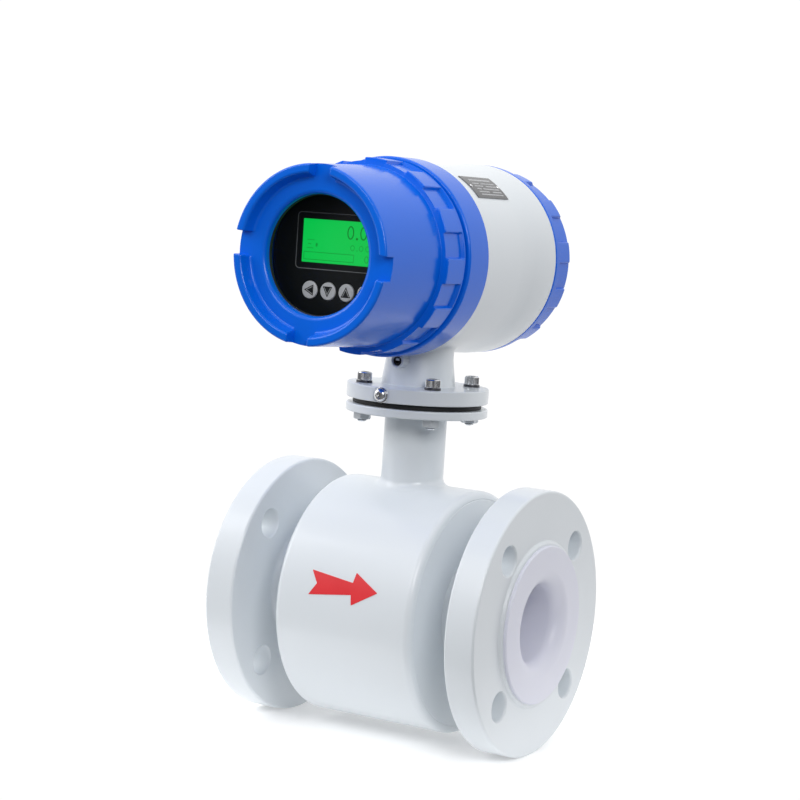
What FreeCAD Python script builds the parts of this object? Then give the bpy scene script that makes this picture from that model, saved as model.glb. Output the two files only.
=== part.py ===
"""Electromagnetic flow meter, DN50, flanged, with its converter head on top.

Millimetres. The origin is the middle of the flow bore: +X is the flow direction, +Z is up
through the neck, and the display faces -Y. A turned piece is drawn along its own X axis and
then placed: along the pipe, up the neck, or forward out of the head.
"""
import FreeCAD, Part
import os
import re
import Sketcher

from FreeCAD import Placement, Rotation, Vector

# ---------------------------------------------------------------- driving dimensions
SIZES = {
    # flow tube, liner and flanges
    "face_to_face": 200.0,
    "bore_dia": 48.0,
    "liner_wall": 3.0,
    "liner_lip_inset": 2.0,
    "liner_lip_thickness": 2.0,
    "mouth_radius": 10.0,
    "liner_bevel": 2.5,
    "tube_wall": 3.15,
    "welded_fit": 0.05,
    "flange_dia": 165.0,
    "flange_thickness": 20.0,
    "flange_edge_radius": 1.2,
    "raised_face_dia": 102.0,
    "raised_face_height": 2.0,
    "bolt_circle_dia": 125.0,
    "bolt_hole_dia": 18.0,
    "bolt_count": 4,
    "hub_wall": 6.85,
    "hub_root_radius": 3.0,
    # coil drum
    "drum_dia": 152.5,
    "drum_length": 97.0,
    "drum_wall": 5.0,
    "drum_edge_radius": 4.4,
    "end_plate_thickness": 4.0,
    # magnet
    "yoke_clearance": 4.0,
    "yoke_wall": 3.0,
    "yoke_length": 60.0,
    "core_dia": 24.0,
    "coil_dia": 50.0,
    "coil_roof": 8.1,
    "coil_fit": 0.2,
    "coil_standoff": 4.0,
    # electrodes
    "electrode_head_dia": 9.0,
    "electrode_recess": 0.1,
    "electrode_stem_dia": 6.0,
    "electrode_tail": 12.0,
    "insulator_dia": 13.0,
    "insulator_flange_dia": 18.0,
    "insulator_flange_thickness": 3.5,
    "electrode_spring_dia": 14.0,
    "electrode_spring_height": 2.0,
    "electrode_nut_flats": 10.0,
    "electrode_nut_height": 5.0,
    "small_fit": 0.05,
    # neck
    "neck_dia": 39.4,
    "neck_wall": 3.0,
    "neck_weld_radius": 5.0,
    "neck_height": 44.35,
    "neck_flange_thickness": 5.2,
    "neck_flange_dia": 89.6,
    "neck_edge_radius": 0.8,
    "gasket_thickness": 3.4,
    "gasket_inset": 4.0,
    "lead_hole_dia": 24.0,
    "lead_bundle_dia": 9.0,
    "neck_screw_inset": 9.8,
    "neck_screw_count": 4,
    "neck_screw_dia": 6.0,
    "neck_screw_fit": 0.3,
    "neck_screw_head_dia": 9.2,
    "neck_screw_head_height": 5.4,
    "neck_screw_socket": 5.0,
    "neck_screw_socket_depth": 3.0,
    "neck_screw_end": 1.5,
    "neck_washer_dia": 10.2,
    "neck_washer_thickness": 1.4,
    "neck_nut_flats": 10.0,
    "neck_nut_height": 5.0,
    # earth screw on the head flange
    "earth_screw_dia": 4.0,
    "earth_screw_length": 8.0,
    "earth_head_dia": 8.3,
    "earth_head_height": 3.2,
    "earth_washer_dia": 9.6,
    "earth_washer_thickness": 0.8,
    "earth_seat_depth": 0.6,
    "earth_seat_margin": 1.0,
    "earth_dome_height": 1.6,
    "earth_dome_radius": 0.8,
    "earth_crown_dia": 5.0,
    "earth_cross_length": 4.6,
    "earth_cross_width": 1.1,
    "earth_cross_depth": 1.8,
    # converter housing
    "head_flange_thickness": 9.4,
    "pedestal_height": 21.3,
    "pedestal_foot_dia": 46.6,
    "pedestal_top_dia": 42.0,
    "pedestal_foot_radius": 3.0,
    "pedestal_top_radius": 3.0,
    "front_shoulder": 29.2,
    "rear_shoulder": 59.5,
    "barrel_step": 4.7,
    "barrel_flare": 2.3,
    "flare_start": 25.0,
    "flare_end": 42.0,
    "shoulder_radius": 0.8,
    "thread_dia": 108.0,
    "thread_clearance": 0.08,
    "front_spigot_length": 20.0,
    "rear_spigot_length": 15.0,
    "spigot_wall": 6.5,
    "partition_place": 14.0,
    "partition_thickness": 4.0,
    "lock_boss_dia": 9.2,
    "lock_boss_offset": 5.4,
    "lock_boss_setback": 1.2,
    "lock_boss_web": 6.0,
    "lock_web_root": 2.0,
    "lock_screw_dia": 6.3,
    "lock_screw_length": 10.0,
    "lock_screw_depth": 0.8,
    "lock_screw_socket": 3.0,
    "lock_screw_socket_depth": 2.5,
    # front cover
    "cover_gap": 0.4,
    "ring_wall": 6.9,
    "ring_width": 24.0,
    "ring_edge_radius": 1.5,
    "groove_width": 2.1,
    "groove_wall": 1.8,
    "lug_wall": 5.0,
    "lug_height": 2.0,
    "lug_width": 20.7,
    "lug_slope": 0.4,
    "lug_collar": 2.0,
    "lug_count": 12,
    "lug_span_angle": 15.0,
    "lug_clocking": 25.2,
    "cover_wall": 4.8,
    "nose_wall": 3.0,
    "cover_reach": 106.4,
    "crown_height": 7.6,
    "crown_land": 5.2,
    "crown_slope": 2.3,
    "crown_gap_width": 14.0,
    "crown_gap_count": 4,
    "crown_clocking": 5.0,
    "crown_edge_radius": 1.3,
    "window_seat": 8.8,
    "window_lip_radius": 3.0,
    "window_wall": 7.0,
    "bore_step": 4.5,
    "seal_section": 2.4,
    "seal_fit": 0.3,
    "glass_inset": 5.5,
    "glass_thickness": 5.0,
    "glass_fit": 0.3,
    "retainer_lip": 3.0,
    "retainer_overlap": 4.0,
    # display
    "panel_setback": 11.3,
    "panel_thickness": 1.5,
    "panel_clearance": 3.0,
    "screen_width": 53.0,
    "screen_bottom": -5.1,
    "screen_top": 20.5,
    "screen_thickness": 1.0,
    "screen_recess": 0.5,
    "module_border": 2.5,
    "key_dia": 10.6,
    "key_pitch": 12.8,
    "key_drop": 21.4,
    "key_proud": 0.8,
    "key_lip": 0.4,
    "key_lip_thickness": 0.8,
    "key_fit": 0.25,
    "key_stem_dia": 3.5,
    "key_travel": 0.8,
    "key_rest_gap": 0.2,
    "switch_size": 6.0,
    "switch_height": 3.5,
    "board_thickness": 1.6,
    "board_setback": 7.2,
    "frame_wall": 2.1,
    "frame_ledge": 5.0,
    "frame_ledge_thickness": 3.0,
    "frame_depth": 40.0,
    "frame_foot_dia": 10.0,
    # electronics
    "main_board_place": 8.0,
    "main_board_clearance": 3.5,
    "standoff_dia": 6.0,
    "standoff_inset": 5.0,
    "standoff_count": 4,
    "power_module_width": 40.0,
    "power_module_height": 30.0,
    "power_module_depth": 20.0,
    "power_module_drop": 7.5,
    "lead_plug_width": 16.0,
    "lead_plug_depth": 8.0,
    "lead_plug_height": 10.0,
    "lead_plug_drop": 34.0,
    # terminal compartment and back cover
    "back_ring_width": 5.6,
    "back_lug_width": 17.0,
    "back_lug_span_angle": 13.0,
    "back_lug_clocking": 8.0,
    "back_wall": 5.0,
    "back_depth": 27.9,
    "back_chamfer": 4.3,
    "back_chamfer_width": 4.3,
    "terminal_width": 66.0,
    "terminal_height": 18.0,
    "terminal_depth": 15.0,
    "terminal_count": 8,
    "terminal_pitch": 7.6,
    "terminal_screw_dia": 4.6,
    "terminal_screw_length": 6.0,
    "terminal_screw_sink": 1.0,
    "terminal_screw_rise": 3.6,
    "terminal_slot_width": 0.9,
    "wire_hole_dia": 3.6,
    "wire_hole_depth": 10.0,
    "wire_hole_drop": 4.5,
    "feedthrough_dia": 16.0,
    "feedthrough_flange": 3.0,
    "feedthrough_rise": 26.0,
    "feedthrough_reach": 6.0,
    # cable glands
    "gland_place": 38.0,
    "gland_spread": 16.0,
    "gland_boss_dia": 27.0,
    "gland_boss_height": 5.3,
    "gland_thread_dia": 20.0,
    "gland_thread_length": 12.0,
    "gland_hex_flats": 24.0,
    "gland_hex_height": 6.0,
    "gland_sleeve_dia": 18.0,
    "gland_sleeve_length": 11.0,
    "gland_seal_dia": 14.0,
    "gland_seal_bore": 8.0,
    "gland_nut_length": 16.0,
    "gland_nut_wall": 3.0,
    "gland_nut_mouth": 11.0,
    "gland_nut_grip": 9.6,
    # nameplate and flow arrow
    "plate_thickness": 0.6,
    "plate_front": 17.5,
    "plate_length": 38.5,
    "plate_low_angle": 42.0,
    "plate_span_angle": 19.0,
    "rivet_dia": 2.2,
    "rivet_height": 0.5,
    "arrow_thickness": 0.25,
    "arrow_rise": 17.8,
    "arrow_tail": 24.1,
    "arrow_notch": 5.0,
    "arrow_neck_place": 6.0,
    "arrow_tip": 24.1,
    "arrow_tail_width": 14.9,
    "arrow_neck_width": 7.2,
    "arrow_barb_width": 19.5,
}

# ---------------------------------------------------------------- places worked out from them
RAISED_FACE = "(face_to_face / 2 - liner_lip_thickness)"
FLANGE_FACE = "(face_to_face / 2 - liner_lip_thickness - raised_face_height)"
FLANGE_BACK = "(face_to_face / 2 - liner_lip_thickness - raised_face_height - flange_thickness)"
TUBE_INNER = "(bore_dia / 2 + liner_wall)"
TUBE_OUTER = "(bore_dia / 2 + liner_wall + tube_wall)"
HUB = f"({TUBE_OUTER} + hub_wall)"
DRUM_INNER = "(drum_dia / 2 - drum_wall)"
YOKE_OUTER = "(drum_dia / 2 - drum_wall - yoke_clearance)"
YOKE_INNER = "(drum_dia / 2 - drum_wall - yoke_clearance - yoke_wall)"
COIL_BASE = f"({TUBE_OUTER} + coil_standoff)"
COIL_LENGTH = f"({YOKE_INNER} - coil_roof - {COIL_BASE})"
NECK_FLANGE_BASE = "(drum_dia / 2 + neck_height)"
NECK_FLANGE_TOP = f"({NECK_FLANGE_BASE} + neck_flange_thickness)"
GASKET_TOP = f"({NECK_FLANGE_TOP} + gasket_thickness)"
HEAD_FLANGE_TOP = f"({GASKET_TOP} + head_flange_thickness)"
NECK_SCREW_CIRCLE = "(neck_flange_dia - 2 * neck_screw_inset)"

# The converter's radii, each from the cover thread outwards or inwards.
THREAD_MALE = "(thread_dia / 2 - thread_clearance)"
BARREL = "(thread_dia / 2 + barrel_step)"
BARREL_REAR = "(thread_dia / 2 + barrel_step + barrel_flare)"
COMPARTMENT = "(thread_dia / 2 - spigot_wall)"
RING = "(thread_dia / 2 + ring_wall)"
GROOVE = "(thread_dia / 2 + groove_wall)"
LUG = "(thread_dia / 2 + lug_wall)"
LUG_ROOT = "(thread_dia / 2 + lug_wall - lug_height)"
COVER_BORE = "(thread_dia / 2 - bore_step)"
COVER_BARREL = f"({COVER_BORE} + cover_wall)"
COVER_NOSE = f"({COVER_BORE} + nose_wall)"
GLASS = f"({COVER_BORE} - glass_inset)"
WINDOW = f"({GLASS} - window_seat)"
PANEL = f"({COVER_BORE} - panel_clearance)"
FRAME_INNER = f"({PANEL} - frame_wall)"
MAIN_BOARD = f"({COMPARTMENT} - main_board_clearance)"
STANDOFF_CIRCLE = f"(2 * ({MAIN_BOARD} - standoff_inset))"

# The converter's places, measured from its axis.
HEAD_DROP = f"(head_flange_thickness + pedestal_height + {BARREL})"
HEAD_AXIS = f"({GASKET_TOP} + {HEAD_DROP})"
LOCK_DROP = f"({BARREL} + lock_boss_offset)"
GLAND_FACE = f"({BARREL} + gland_boss_height)"

# The converter's places along its axis, forwards positive.
PARTITION_REAR = "(partition_place + partition_thickness)"
COVER_REAR = "(front_shoulder + cover_gap)"
FRONT_SPIGOT_END = "(front_shoulder + front_spigot_length)"
REAR_SPIGOT_END = "(rear_shoulder + rear_spigot_length)"
SEAL_GAP = "(seal_section + 2 * seal_fit)"
COVER_RIM = f"({COVER_REAR} + cover_reach)"
CROWN_FLOOR = f"({COVER_RIM} - crown_height)"
GLASS_SEAT = f"({CROWN_FLOOR} - window_wall)"
RING_FRONT = f"({COVER_REAR} + ring_width)"
BAND_REAR = f"({RING_FRONT} + groove_width)"
BAND_FRONT = f"({BAND_REAR} + lug_width)"
BACK_COVER_FRONT = "(rear_shoulder + cover_gap)"
BACK_COVER_END = f"({BACK_COVER_FRONT} + back_depth)"
RETAINER_BACK = f"({GLASS_SEAT} - glass_thickness - retainer_lip)"
PANEL_FACE = f"({RETAINER_BACK} - panel_setback)"
PANEL_BACK = f"({PANEL_FACE} - panel_thickness)"
FRAME_BACK = f"({PANEL_BACK} - frame_depth)"
BOARD_BACK = f"({PANEL_BACK} - board_setback)"
BOARD_FRONT = f"({BOARD_BACK} + board_thickness)"
MAIN_BOARD_FRONT = "(main_board_place + board_thickness)"
KEY_STEM_END = f"({BOARD_FRONT} + switch_height + key_travel + key_rest_gap)"

doc = FreeCAD.newDocument("FlowMeter")
sheet = doc.addObject("Spreadsheet::Sheet", "Dims")
pieces = []


def fill_sheet():
    """Write each driving dimension into the sheet as a plain number with its alias."""
    for row, (name, number) in enumerate(SIZES.items(), start=1):
        sheet.set(f"A{row}", name)
        sheet.set(f"B{row}", str(number))
        sheet.setAlias(f"B{row}", name)
    doc.recompute()


def in_sheet(formula):
    """Give the names in a formula the form in which other objects find them."""
    return re.sub(r"[a-z][a-z_]+", lambda word: sheet_name(word.group()), str(formula))


def sheet_name(word):
    return f"Dims.{word}" if word in SIZES else word


def value(formula):
    """Work a formula out to a plain number."""
    return float(sheet.evalExpression(in_sheet(formula)))


def bind(thing, **formulas):
    """Tie properties of an object to formulas."""
    for name, formula in formulas.items():
        thing.setExpression(name, in_sheet(formula))


# ---------------------------------------------------------------- primitives
TURNS = {
    "x": Rotation(Vector(0, 1, 0), 90),
    "y": Rotation(Vector(1, 0, 0), -90),
    "z": Rotation(),
}


def put(thing, at, turn=Rotation()):
    """Place an object at three formulas, turned as given."""
    thing.Placement = Placement(Vector(), turn)
    for axis, formula in zip("xyz", at):
        thing.setExpression(f"Placement.Base.{axis}", in_sheet(formula))
    return thing


def rod(name, radius, length, at=("0", "0", "0"), along="x", angle=None):
    """A cylinder, or a sector of one, from a start point along an axis."""
    thing = doc.addObject("Part::Cylinder", name)
    bind(thing, Radius=radius, Height=length)
    if angle is not None:
        bind(thing, Angle=angle)
    return put(thing, at, TURNS[along])


def block(name, size, corner):
    """A box with its lowest corner at three formulas."""
    thing = doc.addObject("Part::Box", name)
    bind(thing, Length=size[0], Width=size[1], Height=size[2])
    return put(thing, corner)


def hexagon(name, flats, length, at, along="x"):
    """A hexagonal prism, sized across its flats."""
    thing = doc.addObject("Part::Prism", name)
    thing.Polygon = 6
    bind(thing, Circumradius=f"({flats}) / 2 / cos(30)", Height=length)
    return put(thing, at, TURNS[along])


def fuse(name, *things):
    thing = doc.addObject("Part::MultiFuse", name)
    thing.Shapes = list(things)
    return thing


def cut(name, base, *tools):
    """Take one or more tools away from a base."""
    thing = doc.addObject("Part::Cut", name)
    thing.Base = base
    thing.Tool = tools[0] if len(tools) == 1 else fuse(f"{name}_tools", *tools)
    return thing


def common(name, first, second):
    thing = doc.addObject("Part::Common", name)
    thing.Base = first
    thing.Tool = second
    return thing


def group(name, members):
    """Like pieces that share one node, each its own solid."""
    thing = doc.addObject("Part::Compound", name)
    thing.Links = members
    return thing


def origin_plane(body, role):
    return next(plane for plane in body.Origin.OriginFeatures if plane.Role == role)


def outline(body, corners):
    """A closed outline on the body's XZ plane, each corner held by two formulas."""
    sketch = body.newObject("Sketcher::SketchObject", f"{body.Name}_outline")
    sketch.AttachmentSupport = (origin_plane(body, "XZ_Plane"), [""])
    sketch.MapMode = "FlatFace"
    points = [Vector(value(along), value(out), 0) for along, out in corners]
    for start, end in zip(points, points[1:] + points[:1]):
        sketch.addGeometry(Part.LineSegment(start, end))
    count = len(points)
    for index in range(count):
        sketch.addConstraint(Sketcher.Constraint("Coincident", index, 2, (index + 1) % count, 1))
    for index, corner in enumerate(corners):
        for kind, formula in zip(("DistanceX", "DistanceY"), corner):
            hold = Sketcher.Constraint(kind, -1, 1, index, 1, value(formula))
            row = sketch.addConstraint(hold)
            sketch.setExpression(f"Constraints[{row}]", in_sheet(formula))
    return sketch


def turned(name, corners):
    """A body turned about its X axis; each corner is a pair of formulas, along and out."""
    body = doc.addObject("PartDesign::Body", name)
    sketch = outline(body, corners)
    turn = body.newObject("PartDesign::Revolution", f"{name}_turn")
    turn.Profile = sketch
    turn.ReferenceAxis = (sketch, ["H_Axis"])
    turn.Angle = 360
    doc.recompute()
    return body


def rims(body, spots):
    """The circular edges of a turned body at the given places, along and out."""
    places = [(value(along), value(out)) for along, out in spots]
    found = []
    for number, edge in enumerate(body.Shape.Edges, start=1):
        if not isinstance(edge.Curve, Part.Circle) or not edge.isClosed():
            continue
        here = (edge.Curve.Center.x, edge.Curve.Radius)
        if any(abs(here[0] - x) < 1e-4 and abs(here[1] - r) < 1e-4 for x, r in places):
            found.append(f"Edge{number}")
    return found


def seam(body, low, high):
    """The edges that are no full circle and lie wholly between two heights."""
    found = []
    for number, edge in enumerate(body.Shape.Edges, start=1):
        box = edge.BoundBox
        curved = not isinstance(edge.Curve, (Part.Line, Part.Circle))
        if curved and box.ZMin > low and box.ZMax < high:
            found.append(f"Edge{number}")
    return found


def round_off(body, edges, radius):
    """Round edges of a body with one radius."""
    fillet = body.newObject("PartDesign::Fillet", f"{body.Name}_round")
    fillet.Base = (body.Tip if body.Tip != fillet else fillet.BaseFeature, edges)
    bind(fillet, Radius=radius)
    doc.recompute()
    return fillet


# ---------------------------------------------------------------- finished pieces
AHEAD = Rotation(Vector(0, 0, 1), -90)
BACKWARD = Rotation(Vector(0, 0, 1), 90)
UPWARD = Rotation(Vector(0, 1, 0), -90)
UPSTREAM = Rotation(Vector(0, 0, 1), 180)


def keep(thing, label, at=("0", "0", "0"), turn=Rotation()):
    """Name a finished sub-part and set it in its place in the meter."""
    if thing.isDerivedFrom("Part::Primitive"):
        thing = group(f"{label}_place", [thing])
    put(thing, at, turn)
    thing.Label = label
    pieces.append(thing)
    return thing


def keep_in_pipe(thing, label):
    return keep(thing, label)


def keep_in_neck(thing, label):
    """Local X runs up the neck."""
    return keep(thing, label, turn=UPWARD)


def keep_in_head(thing, label):
    """Local X runs forward along the head's axis, out through the window."""
    return keep(thing, label, ("0", "0", HEAD_AXIS), AHEAD)


# ---------------------------------------------------------------- flow tube
def measuring_tube():
    """Stainless tube between the raised faces, bevelled where the liner turns over its ends."""
    blank = turned("tube_blank", [
        (f"-{RAISED_FACE}", f"{TUBE_INNER} + liner_bevel"),
        (f"-{RAISED_FACE}", TUBE_OUTER),
        (RAISED_FACE, TUBE_OUTER),
        (RAISED_FACE, f"{TUBE_INNER} + liner_bevel"),
        (f"{RAISED_FACE} - liner_bevel", TUBE_INNER),
        (f"-{RAISED_FACE} + liner_bevel", TUBE_INNER),
    ])
    hole = rod("tube_electrode_hole", "insulator_dia / 2 + small_fit", f"4 * {TUBE_OUTER}",
               ("0", f"-2 * {TUBE_OUTER}", "0"), "y")
    keep_in_pipe(cut("tube", blank, hole), "measuring_tube")


def liner():
    """Moulded liner, rolled over the raised faces at both ends, with wide rounded mouths."""
    inner = "bore_dia / 2"
    lip = "raised_face_dia / 2 - liner_lip_inset"
    end = "face_to_face / 2"
    blank = turned("liner_blank", [
        (f"-{end}", inner),
        (f"-{end}", lip),
        (f"-{RAISED_FACE}", lip),
        (f"-{RAISED_FACE}", f"{TUBE_INNER} + liner_bevel"),
        (f"-{RAISED_FACE} + liner_bevel", TUBE_INNER),
        (f"{RAISED_FACE} - liner_bevel", TUBE_INNER),
        (RAISED_FACE, f"{TUBE_INNER} + liner_bevel"),
        (RAISED_FACE, lip),
        (end, lip),
        (end, inner),
    ])
    round_off(blank, rims(blank, [(end, inner), (f"-{end}", inner)]), "mouth_radius")
    hole = rod("liner_electrode_hole", "electrode_head_dia / 2 + small_fit",
               f"4 * {TUBE_OUTER}", ("0", f"-2 * {TUBE_OUTER}", "0"), "y")
    keep_in_pipe(cut("liner", blank, hole), "liner")


def bolt_holes(name, circle, count, radius, length, start):
    """Holes along X on a circle, straddling the centre lines."""
    holes = []
    for index in range(int(value(count))):
        angle = f"(360 / {count} * ({index} + 0.5))"
        across = (f"{circle} / 2 * cos({angle})", f"{circle} / 2 * sin({angle})")
        holes.append(rod(f"{name}_{index}", radius, length, (start, *across)))
    return holes


def pipe_flange(name, turn):
    """Forged flange with a raised face and a long hub that reaches the drum."""
    rim = "flange_dia / 2"
    raised = "raised_face_dia / 2"
    tube = f"{TUBE_OUTER} + welded_fit"
    blank = turned(f"{name}_blank", [
        ("drum_length / 2", tube),
        ("drum_length / 2", HUB),
        (FLANGE_BACK, HUB),
        (FLANGE_BACK, rim),
        (FLANGE_FACE, rim),
        (FLANGE_FACE, raised),
        (RAISED_FACE, raised),
        (RAISED_FACE, tube),
    ])
    round_off(blank, rims(blank, [(FLANGE_BACK, rim), (FLANGE_FACE, rim), (RAISED_FACE, raised)]),
              "flange_edge_radius")
    round_off(blank, rims(blank, [(FLANGE_BACK, HUB)]), "hub_root_radius")
    holes = bolt_holes(f"{name}_hole", "bolt_circle_dia", "bolt_count", "bolt_hole_dia / 2",
                       "2 * flange_thickness", f"{FLANGE_BACK} - flange_thickness / 2")
    keep(cut(f"{name}_drilled", blank, *holes), name, turn=turn)


# ---------------------------------------------------------------- coil drum and magnet
def coil_drum():
    """Rolled shell around the coils, with soft outer edges and an opening under the neck."""
    outer = "drum_dia / 2"
    half = "drum_length / 2"
    blank = turned("drum_blank", [
        (f"-{half}", DRUM_INNER),
        (f"-{half}", outer),
        (half, outer),
        (half, DRUM_INNER),
    ])
    round_off(blank, rims(blank, [(half, outer), (f"-{half}", outer)]), "drum_edge_radius")
    hole = rod("drum_neck_hole", "neck_dia / 2 - neck_wall", outer, along="z")
    keep_in_pipe(cut("drum", blank, hole), "coil_drum")


def end_plate(name, turn):
    """Disc welded into the drum's end, around the measuring tube."""
    inside = "drum_length / 2 - end_plate_thickness"
    plate = turned(f"{name}_disc", [
        (inside, f"{TUBE_OUTER} + welded_fit"),
        (inside, f"{DRUM_INNER} - welded_fit"),
        ("drum_length / 2", f"{DRUM_INNER} - welded_fit"),
        ("drum_length / 2", f"{TUBE_OUTER} + welded_fit"),
    ])
    keep(plate, name, turn=turn)


def magnet_yoke():
    """Steel band that closes the magnetic path around the tube."""
    half = "yoke_length / 2"
    keep_in_pipe(turned("yoke", [
        (f"-{half}", YOKE_INNER),
        (f"-{half}", YOKE_OUTER),
        (half, YOKE_OUTER),
        (half, YOKE_INNER),
    ]), "magnet_yoke")


def pole_core(name, side):
    """Steel core between the tube and the yoke, shaped to both."""
    start = {"upper": "0", "lower": f"-{YOKE_OUTER}"}[side]
    bar = rod(f"{name}_bar", "core_dia / 2", YOKE_OUTER, ("0", "0", start), "z")
    room = rod(f"{name}_room", f"{YOKE_INNER} - small_fit", "yoke_length",
               ("-yoke_length / 2", "0", "0"))
    tube = rod(f"{name}_tube", f"{TUBE_OUTER} + small_fit", "yoke_length",
               ("-yoke_length / 2", "0", "0"))
    keep_in_pipe(cut(f"{name}_shaped", common(f"{name}_long", bar, room), tube), name)


def field_coil(name, side):
    """Wound coil around its pole core."""
    base = {"upper": COIL_BASE, "lower": f"-({COIL_BASE} + {COIL_LENGTH})"}[side]
    winding = rod(f"{name}_winding", "coil_dia / 2", COIL_LENGTH, ("0", "0", base), "z")
    core = rod(f"{name}_core", "core_dia / 2 + coil_fit", COIL_LENGTH, ("0", "0", base), "z")
    keep_in_pipe(cut(f"{name}_hollow", winding, core), name)


# ---------------------------------------------------------------- electrodes
SIDES = {"front": AHEAD, "back": BACKWARD}
INSULATOR_TOP = f"({TUBE_OUTER} + insulator_flange_thickness)"
SPRING_TOP = f"({TUBE_OUTER} + insulator_flange_thickness + electrode_spring_height)"


def electrode(side):
    """Alloy stud whose head meets the liquid and whose stem leaves through the tube."""
    head = "electrode_head_dia / 2"
    stem = "electrode_stem_dia / 2"
    tip = "bore_dia / 2 + electrode_recess"
    stud = turned(f"{side}_stud", [
        (tip, "0"),
        (tip, head),
        (TUBE_INNER, head),
        (TUBE_INNER, stem),
        (f"{INSULATOR_TOP} + electrode_tail", stem),
        (f"{INSULATOR_TOP} + electrode_tail", "0"),
    ])
    keep(stud, f"{side}_electrode", turn=SIDES[side])


def electrode_insulator(side):
    """Bush that keeps the stud away from the steel tube."""
    bore = "electrode_stem_dia / 2 + small_fit"
    bush = turned(f"{side}_bush", [
        (TUBE_INNER, bore),
        (TUBE_INNER, "insulator_dia / 2"),
        (TUBE_OUTER, "insulator_dia / 2"),
        (TUBE_OUTER, "insulator_flange_dia / 2"),
        (INSULATOR_TOP, "insulator_flange_dia / 2"),
        (INSULATOR_TOP, bore),
    ])
    return put(bush, ("0", "0", "0"), SIDES[side])


def electrode_spring(side):
    """Coned disc spring under the nut."""
    bore = "electrode_stem_dia / 2 + small_fit"
    rise = "electrode_spring_height / 2"
    disc = turned(f"{side}_disc", [
        (f"{INSULATOR_TOP} + {rise}", bore),
        (INSULATOR_TOP, "electrode_spring_dia / 2"),
        (f"{INSULATOR_TOP} + {rise}", "electrode_spring_dia / 2"),
        (SPRING_TOP, bore),
    ])
    return put(disc, ("0", "0", "0"), SIDES[side])


def electrode_nut(side):
    """Hexagon nut that pulls the stud's head into the liner."""
    body = hexagon(f"{side}_nut_body", "electrode_nut_flats", "electrode_nut_height",
                   (SPRING_TOP, "0", "0"))
    bore = rod(f"{side}_nut_bore", "electrode_stem_dia / 2 + small_fit",
               "electrode_nut_height", (SPRING_TOP, "0", "0"))
    return put(cut(f"{side}_nut", body, bore), ("0", "0", "0"), SIDES[side])


def electrodes():
    for side in SIDES:
        electrode(side)
    keep_in_pipe(group("bushes", [electrode_insulator(side) for side in SIDES]),
                 "electrode_insulators")
    keep_in_pipe(group("discs", [electrode_spring(side) for side in SIDES]),
                 "electrode_springs")
    keep_in_pipe(group("nuts", [electrode_nut(side) for side in SIDES]), "electrode_nuts")


# ---------------------------------------------------------------- neck
def neck_tube():
    """Tube that carries the head, saddled on the drum with a smooth weld at its foot."""
    drum = "drum_dia / 2"
    body = turned("neck_blank", [
        ("-drum_length / 2", "0"),
        ("-drum_length / 2", drum),
        ("drum_length / 2", drum),
        ("drum_length / 2", "0"),
    ])
    column = body.newObject("PartDesign::AdditiveCylinder", "neck_column")
    bind(column, Radius="neck_dia / 2", Height=NECK_FLANGE_BASE)
    doc.recompute()
    joint = seam(body, value(drum) / 2, value(drum) + value("neck_weld_radius"))
    round_off(body, joint, "neck_weld_radius")
    inside = rod("neck_inside", "neck_dia / 2 - neck_wall", NECK_FLANGE_BASE, along="z")
    shell = rod("neck_drum", f"{drum} + welded_fit", "2 * drum_length", ("-drum_length", "0", "0"))
    below = block("neck_below", ("4 * drum_length", "2 * drum_dia", f"2 * {drum}"),
                  ("-2 * drum_length", "-drum_dia", f"-2 * {drum}"))
    keep_in_pipe(cut("neck_hollow", body, shell, inside, below), "neck_tube")


def neck_holes(name, start, length):
    """The four screw holes that the joint's two flanges share, along local X."""
    return bolt_holes(name, NECK_SCREW_CIRCLE, "neck_screw_count",
                      "neck_screw_dia / 2 + neck_screw_fit", length, start)


def neck_flange():
    """Plate welded on top of the neck tube."""
    rim = "neck_flange_dia / 2"
    plate = turned("neck_plate", [
        (NECK_FLANGE_BASE, "lead_hole_dia / 2"),
        (NECK_FLANGE_BASE, rim),
        (NECK_FLANGE_TOP, rim),
        (NECK_FLANGE_TOP, "lead_hole_dia / 2"),
    ])
    round_off(plate, rims(plate, [(NECK_FLANGE_BASE, rim), (NECK_FLANGE_TOP, rim)]),
              "neck_edge_radius")
    holes = neck_holes("neck_plate_hole", f"{NECK_FLANGE_BASE} - neck_flange_thickness",
                       "3 * neck_flange_thickness")
    keep_in_neck(cut("neck_plate_drilled", plate, *holes), "neck_flange")


def neck_gasket():
    """Flat rubber ring between the two flanges, a little smaller than they are."""
    rim = "neck_flange_dia / 2 - gasket_inset"
    ring = turned("gasket_ring", [
        (NECK_FLANGE_TOP, "lead_hole_dia / 2"),
        (NECK_FLANGE_TOP, rim),
        (GASKET_TOP, rim),
        (GASKET_TOP, "lead_hole_dia / 2"),
    ])
    holes = neck_holes("gasket_hole", f"{NECK_FLANGE_TOP} - gasket_thickness",
                       "3 * gasket_thickness")
    keep_in_neck(cut("gasket_drilled", ring, *holes), "neck_gasket")


WASHER_TOP = f"({HEAD_FLANGE_TOP} + neck_washer_thickness)"


def neck_screw(index, across):
    """Socket head screw from above, with its thread end showing below the nut."""
    end = f"{NECK_FLANGE_BASE} - neck_nut_height - neck_screw_end"
    shank = rod(f"screw_shank_{index}", "neck_screw_dia / 2", f"{WASHER_TOP} - ({end})",
                (end, *across))
    head = rod(f"screw_head_{index}", "neck_screw_head_dia / 2", "neck_screw_head_height",
               (WASHER_TOP, *across))
    socket = hexagon(f"screw_socket_{index}", "neck_screw_socket", "neck_screw_head_height",
                     (f"{WASHER_TOP} + neck_screw_head_height - neck_screw_socket_depth", *across))
    return cut(f"screw_{index}", fuse(f"screw_solid_{index}", shank, head), socket)


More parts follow.
